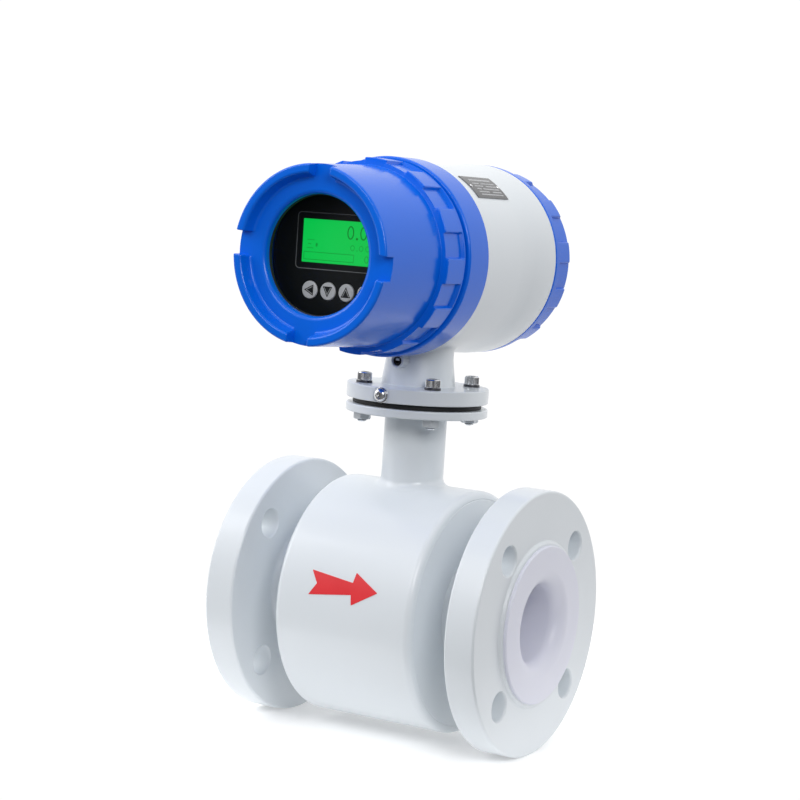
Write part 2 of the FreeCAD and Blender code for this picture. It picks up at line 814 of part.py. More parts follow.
def neck_washer(index, across):
    """Spring washer under the head, split at one place."""
    bore = "neck_screw_dia / 2 + small_fit"
    ring = rod(f"washer_ring_{index}", "neck_washer_dia / 2", "neck_washer_thickness",
               (HEAD_FLANGE_TOP, *across))
    hole = rod(f"washer_hole_{index}", bore, "neck_washer_thickness", (HEAD_FLANGE_TOP, *across))
    split = block(f"washer_split_{index}",
                  ("neck_washer_thickness", "neck_washer_dia", "neck_washer_thickness / 2"),
                  (HEAD_FLANGE_TOP, *across))
    return cut(f"washer_{index}", ring, hole, split)


def neck_nut(index, across):
    """Hexagon nut under the neck flange."""
    start = f"{NECK_FLANGE_BASE} - neck_nut_height"
    body = hexagon(f"nut_body_{index}", "neck_nut_flats", "neck_nut_height", (start, *across))
    bore = rod(f"nut_bore_{index}", "neck_screw_dia / 2 + small_fit", "neck_nut_height",
               (start, *across))
    return cut(f"nut_{index}", body, bore)


def neck_fasteners():
    """The joint's screws, spring washers and nuts, one node each."""
    spots = []
    for index in range(int(value("neck_screw_count"))):
        angle = f"(360 / neck_screw_count * ({index} + 0.5))"
        spots.append((f"{NECK_SCREW_CIRCLE} / 2 * cos({angle})",
                      f"{NECK_SCREW_CIRCLE} / 2 * sin({angle})"))
    kinds = {"neck_screws": neck_screw, "neck_spring_washers": neck_washer, "neck_nuts": neck_nut}
    for label, make in kinds.items():
        members = [make(index, across) for index, across in enumerate(spots)]
        keep_in_neck(group(f"{label}_set", members), label)


# ---------------------------------------------------------------- converter housing
LOCK_BOSS_END = f"({COVER_REAR} - lock_boss_setback)"
EARTH_SEAT = "(neck_flange_dia / 2 - earth_seat_depth)"
EARTH_HEIGHT = f"(-{HEAD_DROP} + head_flange_thickness / 2)"


def raw_housing():
    """The casting before machining: barrel, pedestal, flange and bosses in one body."""
    body = turned("housing_blank", [
        (FRONT_SPIGOT_END, "0"),
        (FRONT_SPIGOT_END, THREAD_MALE),
        ("front_shoulder", THREAD_MALE),
        ("front_shoulder", BARREL),
        ("-flare_start", BARREL),
        ("-flare_end", BARREL_REAR),
        ("-rear_shoulder", BARREL_REAR),
        ("-rear_shoulder", THREAD_MALE),
        (f"-{REAR_SPIGOT_END}", THREAD_MALE),
        (f"-{REAR_SPIGOT_END}", "0"),
    ])
    shoulders = [("front_shoulder", BARREL), ("-rear_shoulder", BARREL_REAR)]
    round_off(body, rims(body, shoulders), "shoulder_radius")
    column = body.newObject("PartDesign::AdditiveCone", "pedestal")
    bind(column, Radius1="pedestal_foot_dia / 2", Radius2="pedestal_top_dia / 2",
         Height=f"{HEAD_DROP} - {COMPARTMENT}")
    put(column, ("0", "0", f"-{HEAD_DROP}"))
    doc.recompute()
    foot = body.newObject("PartDesign::AdditiveCylinder", "head_flange")
    bind(foot, Radius="neck_flange_dia / 2", Height="head_flange_thickness")
    put(foot, ("0", "0", f"-{HEAD_DROP}"))
    doc.recompute()
    joint = seam(body, -value(f"{HEAD_DROP} - head_flange_thickness"), -value(COMPARTMENT))
    round_off(body, joint, "pedestal_top_radius")
    round_off(body, foot_edges(body), "pedestal_foot_radius")
    return body


def foot_edges(body):
    """The circle where the pedestal meets its flange."""
    top = value(f"head_flange_thickness - {HEAD_DROP}")
    limit = value("pedestal_foot_dia / 2") + 1
    found = []
    for number, edge in enumerate(body.Shape.Edges, start=1):
        box = edge.BoundBox
        if abs(box.ZMin - top) < 1e-4 and abs(box.ZMax - top) < 1e-4 and box.XMax < limit:
            found.append(f"Edge{number}")
    return found


def lock_boss():
    """Boss under the front cover's edge, joined to the barrel by a web."""
    boss = rod("lock_boss", "lock_boss_dia / 2", LOCK_BOSS_END, ("0", "0", f"-{LOCK_DROP}"))
    web = block("lock_web", (LOCK_BOSS_END, "lock_boss_web", "lock_boss_offset + lock_web_root"),
                ("0", "-lock_boss_web / 2", f"-{LOCK_DROP}"))
    return [boss, web]


GLAND_SIDES = {"upper": "gland_spread", "lower": "-gland_spread"}


def gland_bosses():
    """Two round bosses for the cable glands, on the side away from the display's right."""
    return [
        rod(f"{side}_gland_boss", "gland_boss_dia / 2", f"{GLAND_FACE} - {COMPARTMENT}",
            ("-gland_place", f"-{GLAND_FACE}", height), "y")
        for side, height in GLAND_SIDES.items()
    ]


def converter_housing():
    """One casting that holds the electronics in front and the terminals behind."""
    solid = fuse("housing_solid", raw_housing(), *lock_boss(), *gland_bosses())
    front = rod("front_compartment", COMPARTMENT, f"{FRONT_SPIGOT_END} + partition_place",
                ("-partition_place", "0", "0"))
    rear = rod("rear_compartment", COMPARTMENT, f"{REAR_SPIGOT_END} - {PARTITION_REAR}",
               (f"-{REAR_SPIGOT_END}", "0", "0"))
    well = rod("lead_well", "lead_hole_dia / 2", HEAD_DROP, ("0", "0", f"-{HEAD_DROP}"), "z")
    lock = rod("lock_hole", "lock_screw_dia / 2 + small_fit",
               "lock_screw_length + lock_screw_depth",
               (f"{LOCK_BOSS_END} - lock_screw_length - lock_screw_depth", "0",
                f"-{LOCK_DROP}"))
    passage = rod("feedthrough_hole", "feedthrough_dia / 2 + small_fit",
                  "3 * partition_thickness",
                  (f"-{PARTITION_REAR} - partition_thickness", "0", "feedthrough_rise"))
    seat = rod("earth_seat", "earth_washer_dia / 2 + earth_seat_margin", "neck_flange_dia",
               (EARTH_SEAT, "0", EARTH_HEIGHT))
    earth = rod("earth_hole", "earth_screw_dia / 2 + small_fit", "2 * earth_screw_length",
                (f"{EARTH_SEAT} - earth_screw_length", "0", EARTH_HEIGHT))
    glands = [
        rod(f"{side}_gland_hole", "gland_thread_dia / 2 + small_fit",
            GLAND_FACE, ("-gland_place", f"-{GLAND_FACE}", height), "y")
        for side, height in GLAND_SIDES.items()
    ]
    keep_in_head(cut("housing", solid, front, rear, well, lock, passage, seat, earth,
                     *glands, *head_flange_holes()), "converter_housing")


def head_flange_holes():
    """Upright screw holes through the head's flange, in line with the neck's."""
    holes = []
    for index in range(int(value("neck_screw_count"))):
        angle = f"(360 / neck_screw_count * ({index} + 0.5))"
        spot = (f"{NECK_SCREW_CIRCLE} / 2 * cos({angle})",
                f"{NECK_SCREW_CIRCLE} / 2 * sin({angle})",
                f"-{HEAD_DROP} - head_flange_thickness")
        holes.append(rod(f"head_flange_hole_{index}", "neck_screw_dia / 2 + neck_screw_fit",
                         "3 * head_flange_thickness", spot, "z"))
    return holes


def lock_screw():
    """Socket set screw in the boss, which keeps the front cover from turning."""
    start = f"{LOCK_BOSS_END} - lock_screw_length - lock_screw_depth"
    body = rod("lock_body", "lock_screw_dia / 2", "lock_screw_length",
               (start, "0", f"-{LOCK_DROP}"))
    socket = hexagon("lock_socket", "lock_screw_socket", "lock_screw_socket_depth",
                     (f"{start} + lock_screw_length - lock_screw_socket_depth", "0",
                      f"-{LOCK_DROP}"))
    keep_in_head(cut("lock", body, socket), "lock_screw")


def earth_screw():
    """Pan head screw with a cross recess, and its flat washer, on the flange's front edge."""
    seat = f"({EARTH_SEAT} + earth_washer_thickness)"
    head = "earth_head_dia / 2"
    end = f"{seat} + earth_head_height"
    screw = turned("earth_solid", [
        (f"{seat} - earth_screw_length", "0"),
        (f"{seat} - earth_screw_length", "earth_screw_dia / 2"),
        (seat, "earth_screw_dia / 2"),
        (seat, head),
        (f"{end} - earth_dome_height", head),
        (end, "earth_crown_dia / 2"),
        (end, "0"),
    ])
    round_off(screw, rims(screw, [(f"{end} - earth_dome_height", head)]), "earth_dome_radius")
    floor = f"{end} - earth_cross_depth"
    arm, blade = "earth_cross_length", "earth_cross_width"
    slots = [
        block("earth_slot_level", ("earth_cross_depth", arm, blade),
              (floor, f"-{arm} / 2", f"-{blade} / 2")),
        block("earth_slot_upright", ("earth_cross_depth", blade, arm),
              (floor, f"-{blade} / 2", f"-{arm} / 2")),
    ]
    place = ("0", "0", f"{HEAD_AXIS} + {EARTH_HEIGHT}")
    keep(cut("earth_slotted", screw, *slots), "earth_screw", place, AHEAD)
    washer = turned("earth_ring", [
        (EARTH_SEAT, "earth_screw_dia / 2 + small_fit"),
        (EARTH_SEAT, "earth_washer_dia / 2"),
        (seat, "earth_washer_dia / 2"),
        (seat, "earth_screw_dia / 2 + small_fit"),
    ])
    keep(washer, "earth_washer", place, AHEAD)


# ---------------------------------------------------------------- covers
def lug_valleys(name, start, length, span, clocking):
    """The sectors milled between the lugs of a cover's grip band."""
    count = int(value("lug_count"))
    outside = [
        rod(f"{name}_pie_{index}", f"2 * {LUG}", length, (start, "0", "0"),
            angle=f"360 / lug_count - {span}")
        for index in range(count)
    ]
    for index, pie in enumerate(outside):
        turn = f"(360 / lug_count * {index} + {clocking} + {span} / 2)"
        spin_about_x(pie, turn)
    inside = rod(f"{name}_root", LUG_ROOT, length, (start, "0", "0"))
    return cut(f"{name}_valleys", fuse(f"{name}_pies", *outside), inside)


def spin_about_x(thing, turn):
    """Turn a sector that lies along X by an angle given as a formula."""
    place = f"rotation(vector(1; 0; 0); {turn}) * rotation(vector(0; 1; 0); 90)"
    thing.setExpression("Placement.Rotation", in_sheet(place))


def front_cover():
    """Deep screwed cover: smooth barrel, notched crown, window opening, grip band and ring."""
    land = f"{COVER_NOSE} - crown_land"
    shoulder = f"{FRONT_SPIGOT_END} + {SEAL_GAP}"
    body = turned("front_cover_blank", [
        (COVER_REAR, "thread_dia / 2"),
        (COVER_REAR, RING),
        (RING_FRONT, RING),
        (RING_FRONT, GROOVE),
        (BAND_REAR, GROOVE),
        (BAND_REAR, LUG),
        (BAND_FRONT, LUG),
        (f"{BAND_FRONT} + lug_slope", COVER_BARREL),
        (COVER_RIM, COVER_NOSE),
        (COVER_RIM, land),
        (CROWN_FLOOR, f"{land} - crown_slope"),
        (CROWN_FLOOR, WINDOW),
        (GLASS_SEAT, WINDOW),
        (GLASS_SEAT, COVER_BORE),
        (shoulder, COVER_BORE),
        (shoulder, "thread_dia / 2"),
    ])
    round_off(body, rims(body, [(COVER_REAR, RING), (RING_FRONT, RING)]), "ring_edge_radius")
    round_off(body, rims(body, [(COVER_RIM, COVER_NOSE), (COVER_RIM, land)]),
              "crown_edge_radius")
    round_off(body, rims(body, [(CROWN_FLOOR, WINDOW)]), "window_lip_radius")
    gaps = []
    for index in range(int(value("crown_gap_count"))):
        gap = block(f"crown_gap_{index}", ("2 * crown_height", f"2 * {COVER_NOSE}", "crown_gap_width"),
                    (CROWN_FLOOR, "0", "0"))
        turn = f"(360 / crown_gap_count * {index} - crown_clocking)"
        gap.setExpression("Placement.Rotation", in_sheet(f"rotation(vector(1; 0; 0); {turn})"))
        half = "crown_gap_width / 2"
        gap.setExpression("Placement.Base.y", in_sheet(f"{half} * sin({turn})"))
        gap.setExpression("Placement.Base.z", in_sheet(f"-{half} * cos({turn})"))
        gaps.append(gap)
    valleys = lug_valleys("front", f"{BAND_REAR} + lug_collar",
                          "lug_width + lug_slope - lug_collar", "lug_span_angle",
                          "lug_clocking")
    keep_in_head(cut("front_cover_cut", body, valleys, *gaps), "front_cover")


def window():
    """Toughened glass inside the cover, held by a ring that is pressed in behind it."""
    back = f"{GLASS_SEAT} - glass_thickness"
    glass = turned("glass_disc", [
        (back, "0"),
        (back, GLASS),
        (GLASS_SEAT, GLASS),
        (GLASS_SEAT, "0"),
    ])
    keep_in_head(glass, "window_glass")
    outer = f"{COVER_BORE} - small_fit"
    rim = f"{GLASS} + glass_fit"
    inner = f"{GLASS} - retainer_overlap"
    ring = turned("retainer_ring", [
        (RETAINER_BACK, inner),
        (RETAINER_BACK, outer),
        (GLASS_SEAT, outer),
        (GLASS_SEAT, rim),
        (back, rim),
        (back, inner),
    ])
    keep_in_head(ring, "glass_retainer")


def cover_seal(name, place):
    """Rubber ring between a spigot's end and its cover's inner shoulder."""
    ring = doc.addObject("Part::Torus", f"{name}_ring")
    bind(ring, Radius1="(thread_dia - bore_step) / 2", Radius2="seal_section / 2")
    keep(ring, name, ("0", f"-({place})", HEAD_AXIS), TURNS["y"])


def back_cover():
    """Blind screwed cover of the terminal compartment, with the same grip band."""
    band = f"{BACK_COVER_FRONT} + back_ring_width"
    band_end = f"{band} + groove_width / 2 + back_lug_width"
    shoulder = f"{REAR_SPIGOT_END} + {SEAL_GAP}"
    body = turned("back_cover_blank", [
        (f"-{BACK_COVER_FRONT}", "thread_dia / 2"),
        (f"-{BACK_COVER_FRONT}", BARREL_REAR),
        (f"-({band})", BARREL_REAR),
        (f"-({band})", GROOVE),
        (f"-({band} + groove_width / 2)", GROOVE),
        (f"-({band} + groove_width / 2)", LUG),
        (f"-({band_end})", LUG),
        (f"-{BACK_COVER_END}", f"{LUG} - back_chamfer"),
        (f"-{BACK_COVER_END}", "0"),
        (f"-({BACK_COVER_END} - back_wall)", "0"),
        (f"-({BACK_COVER_END} - back_wall)", COVER_BORE),
        (f"-({shoulder})", COVER_BORE),
        (f"-({shoulder})", "thread_dia / 2"),
    ])
    edges = [(f"-{BACK_COVER_FRONT}", BARREL_REAR), (f"-({band})", BARREL_REAR)]
    round_off(body, rims(body, edges), "shoulder_radius")
    valleys = lug_valleys("back", f"-{BACK_COVER_END}",
                          "back_depth - back_ring_width - groove_width / 2",
                          "back_lug_span_angle", "back_lug_clocking")
    keep_in_head(cut("back_cover_cut", body, valleys), "back_cover")


# ---------------------------------------------------------------- display
KEYS = ("left", "down", "up", "enter")


def key_spot(name):
    """A key's place across and up the panel; the row is centred."""
    return f"({KEYS.index(name)} - ({len(KEYS)} - 1) / 2) * key_pitch", "-key_drop"


def display_panel():
    """Black front plate with a window for the screen and a hole for each key."""
    plate = rod("panel_plate", PANEL, "panel_thickness", (PANEL_BACK, "0", "0"))
    opening = block("panel_opening",
                    ("3 * panel_thickness", "screen_width + 2 * small_fit",
                     "screen_top - screen_bottom + 2 * small_fit"),
                    (f"{PANEL_BACK} - panel_thickness", "-screen_width / 2 - small_fit",
                     "screen_bottom - small_fit"))
    holes = [
        rod(f"{name}_key_hole", "key_dia / 2 + key_fit", "3 * panel_thickness",
            (f"{PANEL_BACK} - panel_thickness", *key_spot(name)))
        for name in KEYS
    ]
    keep_in_head(cut("panel", plate, opening, *holes), "display_panel")


SCREEN_FACE = f"({PANEL_FACE} - screen_recess)"


def screen():
    """Backlit screen in the panel's window, and the module behind it on the board."""
    glass = block("screen_glass",
                  ("screen_thickness", "screen_width", "screen_top - screen_bottom"),
                  (f"{SCREEN_FACE} - screen_thickness", "-screen_width / 2", "screen_bottom"))
    keep_in_head(glass, "lcd_screen")
    case = block("module_case",
                 (f"{SCREEN_FACE} - screen_thickness - {BOARD_FRONT}",
                  "screen_width + 2 * module_border",
                  "screen_top - screen_bottom + 2 * module_border"),
                 (BOARD_FRONT, "-screen_width / 2 - module_border",
                  "screen_bottom - module_border"))
    ledge = block("module_ledge",
                  ("panel_thickness", "screen_width + 4 * module_border",
                   "screen_top - screen_bottom + 4 * module_border"),
                  (PANEL_BACK, "-screen_width / 2 - 2 * module_border",
                   "screen_bottom - 2 * module_border"))
    keep_in_head(cut("module", case, ledge), "lcd_module")


def key_cap(name):
    """Round key that slides in its hole, held by a lip behind the panel, and its stem."""
    face = f"{PANEL_FACE} + key_proud"
    lip_back = f"({PANEL_BACK} - key_rest_gap - key_lip_thickness)"
    cap = rod(f"{name}_cap", "key_dia / 2", f"{face} - {lip_back}",
              (lip_back, *key_spot(name)))
    lip = rod(f"{name}_lip", "key_dia / 2 + key_fit + key_lip", "key_lip_thickness",
              (lip_back, *key_spot(name)))
    stem = rod(f"{name}_stem", "key_stem_dia / 2", f"{face} - {KEY_STEM_END}",
               (KEY_STEM_END, *key_spot(name)))
    keep_in_head(fuse(f"{name}_key_body", cap, lip, stem), f"{name}_key")


def display_board():
    """Round board with the four key switches."""
    board = rod("display_disc", f"{FRAME_INNER} - small_fit", "board_thickness",
                (BOARD_BACK, "0", "0"))
    keep_in_head(board, "display_board")
    switches = []
    for name in KEYS:
        across, up = key_spot(name)
        switches.append(block(f"{name}_switch", ("switch_height", "switch_size", "switch_size"),
                              (BOARD_FRONT, f"{across} - switch_size / 2",
                               f"{up} - switch_size / 2")))
    keep_in_head(group("switches", switches), "key_switches")


def display_frame():
    """Moulded ring that holds the board and the panel, on four feet."""
    ledge = f"{BOARD_BACK} - frame_ledge_thickness"
    shell = turned("frame_shell", [
        (FRAME_BACK, FRAME_INNER),
        (FRAME_BACK, PANEL),
        (PANEL_BACK, PANEL),
        (PANEL_BACK, FRAME_INNER),
        (BOARD_BACK, FRAME_INNER),
        (BOARD_BACK, f"{FRAME_INNER} - frame_ledge"),
        (ledge, f"{FRAME_INNER} - frame_ledge"),
        (ledge, FRAME_INNER),
    ])
    feet = bolt_holes("frame_foot", STANDOFF_CIRCLE, "standoff_count", "frame_foot_dia / 2",
                      f"{BOARD_BACK} - {FRAME_BACK}", FRAME_BACK)
    room = rod("frame_room", f"{PANEL} - small_fit", "2 * frame_depth", (FRAME_BACK, "0", "0"))
    trimmed = common("frame_feet", fuse("frame_feet_long", *feet), room)
    keep_in_head(fuse("frame_body", shell, trimmed), "display_frame")


def standoffs(label, start, end):
    """Four columns between two boards."""
    columns = bolt_holes(f"{label}_column", STANDOFF_CIRCLE, "standoff_count",
                         "standoff_dia / 2", f"{end} - {start}", start)
    keep_in_head(group(f"{label}_set", columns), label)


# ---------------------------------------------------------------- electronics
def main_board():
    """Signal board on its standoffs, with the power module on its front."""
    keep_in_head(rod("main_disc", MAIN_BOARD, "board_thickness",
                     ("main_board_place", "0", "0")), "main_board")
    module = block("power_block",
                   ("power_module_depth", "power_module_width", "power_module_height"),
                   (MAIN_BOARD_FRONT, "-power_module_width / 2", "-power_module_drop"))
    keep_in_head(module, "power_module")


PLUG_BASE = f"({HEAD_AXIS} - lead_plug_drop - lead_plug_height / 2)"


def sensor_leads():
    """Bundle of coil and electrode leads, up the neck to a plug on the back of the board."""
    plug = block("plug_block", ("lead_plug_width", "lead_plug_depth", "lead_plug_height"),
                 ("-lead_plug_width / 2", "-main_board_place", PLUG_BASE))
    keep_in_pipe(plug, "lead_plug")
    bundle = rod("bundle_long", "lead_bundle_dia / 2", PLUG_BASE, along="z")
    yoke = rod("bundle_yoke", f"{YOKE_OUTER} + small_fit", "yoke_length",
               ("-yoke_length / 2", "0", "0"))
    keep_in_pipe(cut("bundle", bundle, yoke), "sensor_leads")


def wire_feedthrough():
    """Sealed bush that takes the wires through the partition."""
    flange = f"-{PARTITION_REAR} - feedthrough_flange"
    bush = rod("feedthrough_bush", "feedthrough_dia / 2",
               "feedthrough_flange + partition_thickness + feedthrough_reach",
               (flange, "0", "feedthrough_rise"))
    collar = rod("feedthrough_collar", "feedthrough_dia / 2 + feedthrough_flange",
                 "feedthrough_flange", (flange, "0", "feedthrough_rise"))
    keep_in_head(fuse("feedthrough_body", bush, collar), "wire_feedthrough")


def terminal_places():
    """Where each terminal stands across the block."""
    count = int(value("terminal_count"))
    return [f"({index - (count - 1) / 2} * terminal_pitch)" for index in range(count)]


def terminals():
    """Screw terminal block on the partition's rear face."""
    face = f"(-{PARTITION_REAR} - terminal_depth)"
    body = block("terminal_body", ("terminal_depth", "terminal_width", "terminal_height"),
                 (face, "-terminal_width / 2", "-terminal_height / 2"))
    tools = []
    screws = []
    for index, across in enumerate(terminal_places()):
        tools.append(rod(f"terminal_well_{index}", "terminal_screw_dia / 2 + small_fit",
                         "terminal_screw_sink + terminal_screw_length",
                         (face, across, "terminal_screw_rise")))
        tools.append(rod(f"wire_hole_{index}", "wire_hole_dia / 2", "wire_hole_depth",
                         (face, across, "-wire_hole_drop")))
        shank = rod(f"terminal_shank_{index}", "terminal_screw_dia / 2", "terminal_screw_length",
                    (f"{face} + terminal_screw_sink", across, "terminal_screw_rise"))
        slot = block(f"terminal_slot_{index}",
                     ("terminal_screw_sink", "terminal_screw_dia", "terminal_slot_width"),
                     (f"{face} + terminal_screw_sink", f"{across} - terminal_screw_dia / 2",
                      "terminal_screw_rise - terminal_slot_width / 2"))
        screws.append(cut(f"terminal_screw_{index}", shank, slot))
    keep_in_head(cut("terminal_cut", body, *tools), "terminal_block")
    keep_in_head(group("terminal_screw_set", screws), "terminal_screws")


# ---------------------------------------------------------------- cable glands
HEX_TOP = f"({GLAND_FACE} + gland_hex_height)"
SLEEVE_TOP = f"({HEX_TOP} + gland_sleeve_length)"
NUT_BASE = f"({HEX_TOP} + cover_gap)"
NUT_TOP = f"({NUT_BASE} + gland_nut_length)"
SIDEWAYS = Rotation(Vector(0, 0, 1), -90)


def at_gland(thing, height):
    """Set a piece drawn along X on a gland's axis, pointing out of the housing's side."""
    return put(thing, ("-gland_place", "0", height), SIDEWAYS)


def gland_body(side, height):
    """Threaded nipple with a hexagon and a sleeve that holds the seal."""
    tube = turned(f"{side}_gland_tube", [
        (f"{GLAND_FACE} - gland_thread_length", "gland_seal_dia / 2"),
        (f"{GLAND_FACE} - gland_thread_length", "gland_thread_dia / 2"),
        (GLAND_FACE, "gland_thread_dia / 2"),
        (HEX_TOP, "gland_thread_dia / 2"),
        (HEX_TOP, "gland_sleeve_dia / 2"),
        (SLEEVE_TOP, "gland_sleeve_dia / 2"),
        (SLEEVE_TOP, "gland_seal_dia / 2"),
    ])
    collar = hexagon(f"{side}_gland_hex", "gland_hex_flats", "gland_hex_height",
                     (GLAND_FACE, "0", "0"))
    bore = rod(f"{side}_gland_bore", "gland_seal_dia / 2", "gland_hex_height",
               (GLAND_FACE, "0", "0"))
    return at_gland(cut(f"{side}_gland_body", fuse(f"{side}_gland_solid", tube, collar), bore),
                    height)


def gland_seal(side, height):
    """Rubber sleeve that grips the cable."""
    seal = turned(f"{side}_seal", [
        (HEX_TOP, "gland_seal_bore / 2"),
        (HEX_TOP, "gland_seal_dia / 2 - small_fit"),
        (SLEEVE_TOP, "gland_seal_dia / 2 - small_fit"),
        (f"{SLEEVE_TOP} + gland_nut_wall / 2", "gland_nut_mouth / 2"),
        (f"{SLEEVE_TOP} + gland_nut_wall / 2", "gland_seal_bore / 2"),
    ])
    return at_gland(seal, height)


def gland_nut(side, height):
    """Domed nut that squeezes the seal."""
    sleeve = "gland_sleeve_dia / 2 + small_fit"
    outer = "gland_sleeve_dia / 2 + gland_nut_wall"
    seal_top = f"{SLEEVE_TOP} + gland_nut_wall / 2"
    nut = turned(f"{side}_nut_shell", [
        (NUT_BASE, sleeve),
        (NUT_BASE, outer),
        (f"{NUT_BASE} + gland_nut_grip", outer),
        (NUT_TOP, "gland_nut_mouth / 2 + gland_nut_wall / 2"),
        (NUT_TOP, "gland_nut_mouth / 2"),
        (seal_top, "gland_nut_mouth / 2 + small_fit"),
        (f"{SLEEVE_TOP} + small_fit", sleeve),
    ])
    return at_gland(nut, height)


def cable_glands():
    kinds = {"cable_gland_bodies": gland_body, "cable_gland_seals": gland_seal,
             "cable_gland_nuts": gland_nut}
    for label, make in kinds.items():
        members = [make(side, height) for side, height in GLAND_SIDES.items()]
        keep_in_head(group(f"{label}_set", members), label)


# ---------------------------------------------------------------- nameplate and arrow
def nameplate():
    """Thin plate bent round the barrel's right shoulder, with two rivets."""
    outer = f"({BARREL} + plate_thickness)"
    start = "plate_front - plate_length"
    sector = rod("plate_sector", outer, "plate_length", (start, "0", "0"),
                 angle="plate_span_angle")
    spin_about_x(sector, "90 + plate_low_angle")
    barrel = rod("plate_barrel", BARREL, "plate_length", (start, "0", "0"))
    keep_in_head(cut("plate", sector, barrel), "nameplate")
    middle = "(plate_low_angle + plate_span_angle / 2)"
    rivets = []
    for index, along in enumerate((f"{start} + rivet_dia", "plate_front - rivet_dia")):
        rivet = rod(f"rivet_{index}", "rivet_dia / 2", "rivet_height",
                    (along, f"{outer} * cos({middle})", f"{outer} * sin({middle})"))
        lean = f"rotation(vector(1; 0; 0); {middle} - 90)"
        rivet.setExpression("Placement.Rotation", in_sheet(lean))
        rivets.append(rivet)
    keep_in_head(group("rivets", rivets), "nameplate_rivets")


def flow_arrow():
    """Thin arrow stuck on the drum's front, pointing the way of flow."""
    rise = "arrow_rise"
    body = doc.addObject("PartDesign::Body", "arrow_blank")
    sketch = outline(body, [
        ("-arrow_tail", f"{rise} + arrow_tail_width / 2"),
        ("-arrow_tail + arrow_notch", rise),
        ("-arrow_tail", f"{rise} - arrow_tail_width / 2"),
        ("arrow_neck_place", f"{rise} - arrow_neck_width / 2"),
        ("arrow_neck_place + arrow_notch / 5", f"{rise} - arrow_barb_width / 2"),
        ("arrow_tip", rise),
        ("arrow_neck_place + arrow_notch / 5", f"{rise} + arrow_barb_width / 2"),
        ("arrow_neck_place", f"{rise} + arrow_neck_width / 2"),
    ])
    pad = body.newObject("PartDesign::Pad", "arrow_pad")
    pad.Profile = sketch
    bind(pad, Length="drum_dia")
    doc.recompute()
    skin = rod("arrow_skin", "drum_dia / 2 + arrow_thickness", "drum_length",
               ("-drum_length / 2", "0", "0"))
    drum = rod("arrow_drum", "drum_dia / 2", "drum_length", ("-drum_length / 2", "0", "0"))
    keep_in_pipe(cut("arrow", common("arrow_shape", body, skin), drum), "flow_arrow")


# ---------------------------------------------------------------- assembly
def build():
    fill_sheet()
    measuring_tube()
    liner()
    pipe_flange("outlet_flange", Rotation())
    pipe_flange("inlet_flange", UPSTREAM)
    coil_drum()
    end_plate("outlet_end_plate", Rotation())
    end_plate("inlet_end_plate", UPSTREAM)
    magnet_yoke()
    for side in ("upper", "lower"):
        pole_core(f"{side}_pole_core", side)
        field_coil(f"{side}_coil", side)
    electrodes()
    neck_tube()
    neck_flange()
    neck_gasket()
    neck_fasteners()
    converter_housing()
    lock_screw()
    earth_screw()
    front_cover()
    window()
    cover_seal("front_cover_seal", f"{FRONT_SPIGOT_END} + {SEAL_GAP} / 2")
    back_cover()
    cover_seal("back_cover_seal", f"-({REAR_SPIGOT_END} + {SEAL_GAP} / 2)")
    display_panel()
    screen()
    for name in KEYS:
        key_cap(name)
    display_board()
    display_frame()
    standoffs("display_standoffs", MAIN_BOARD_FRONT, FRAME_BACK)
    standoffs("board_standoffs", "-partition_place", "main_board_place")
    main_board()
    sensor_leads()
    wire_feedthrough()
    terminals()
    cable_glands()
    nameplate()
    flow_arrow()
    doc.recompute()


def check():
    """Stop before anything is written if an object failed or a shape is unsound."""
    for thing in doc.Objects:
        if "Invalid" in thing.State or "Error" in thing.State:
            raise RuntimeError(f"{thing.Label} failed: {thing.State}")
    for piece in pieces:
        shape = piece.Shape
        if shape.isNull() or not shape.isValid() or not shape.Solids:
            raise RuntimeError(f"{piece.Label} has no sound solid")


def export():
    os.makedirs("parts", exist_ok=True)
    for piece in pieces:
        piece.Shape.exportStep(os.path.join("parts", f"{piece.Label}.step"))


build()
check()
export()
print(f"{len(pieces)} sub-parts written")
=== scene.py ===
"""Flanged electromagnetic flow meter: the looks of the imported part, piece by piece."""

import math

import bpy
from mathutils import Matrix, Vector


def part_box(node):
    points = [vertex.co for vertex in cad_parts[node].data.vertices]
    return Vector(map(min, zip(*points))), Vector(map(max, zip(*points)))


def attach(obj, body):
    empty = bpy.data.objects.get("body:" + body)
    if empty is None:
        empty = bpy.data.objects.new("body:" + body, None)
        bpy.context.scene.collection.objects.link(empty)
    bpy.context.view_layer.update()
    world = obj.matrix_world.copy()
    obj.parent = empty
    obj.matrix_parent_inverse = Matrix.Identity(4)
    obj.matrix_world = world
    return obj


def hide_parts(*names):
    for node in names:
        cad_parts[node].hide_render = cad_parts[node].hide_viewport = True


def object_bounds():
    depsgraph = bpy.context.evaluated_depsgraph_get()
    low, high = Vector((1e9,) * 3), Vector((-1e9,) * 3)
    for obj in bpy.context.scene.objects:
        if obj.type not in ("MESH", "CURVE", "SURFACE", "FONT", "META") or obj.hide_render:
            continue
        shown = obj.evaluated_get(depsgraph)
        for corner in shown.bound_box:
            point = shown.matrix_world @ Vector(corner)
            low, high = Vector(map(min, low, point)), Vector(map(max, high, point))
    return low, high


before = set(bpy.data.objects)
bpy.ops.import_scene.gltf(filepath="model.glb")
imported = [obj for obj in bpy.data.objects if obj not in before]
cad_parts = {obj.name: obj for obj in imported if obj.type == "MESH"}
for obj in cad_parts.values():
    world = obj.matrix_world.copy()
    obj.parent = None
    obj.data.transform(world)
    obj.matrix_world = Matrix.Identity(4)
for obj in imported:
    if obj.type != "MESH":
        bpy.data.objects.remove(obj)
cad_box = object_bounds()
bpy.ops.object.select_all(action="DESELECT")

MM = 0.001

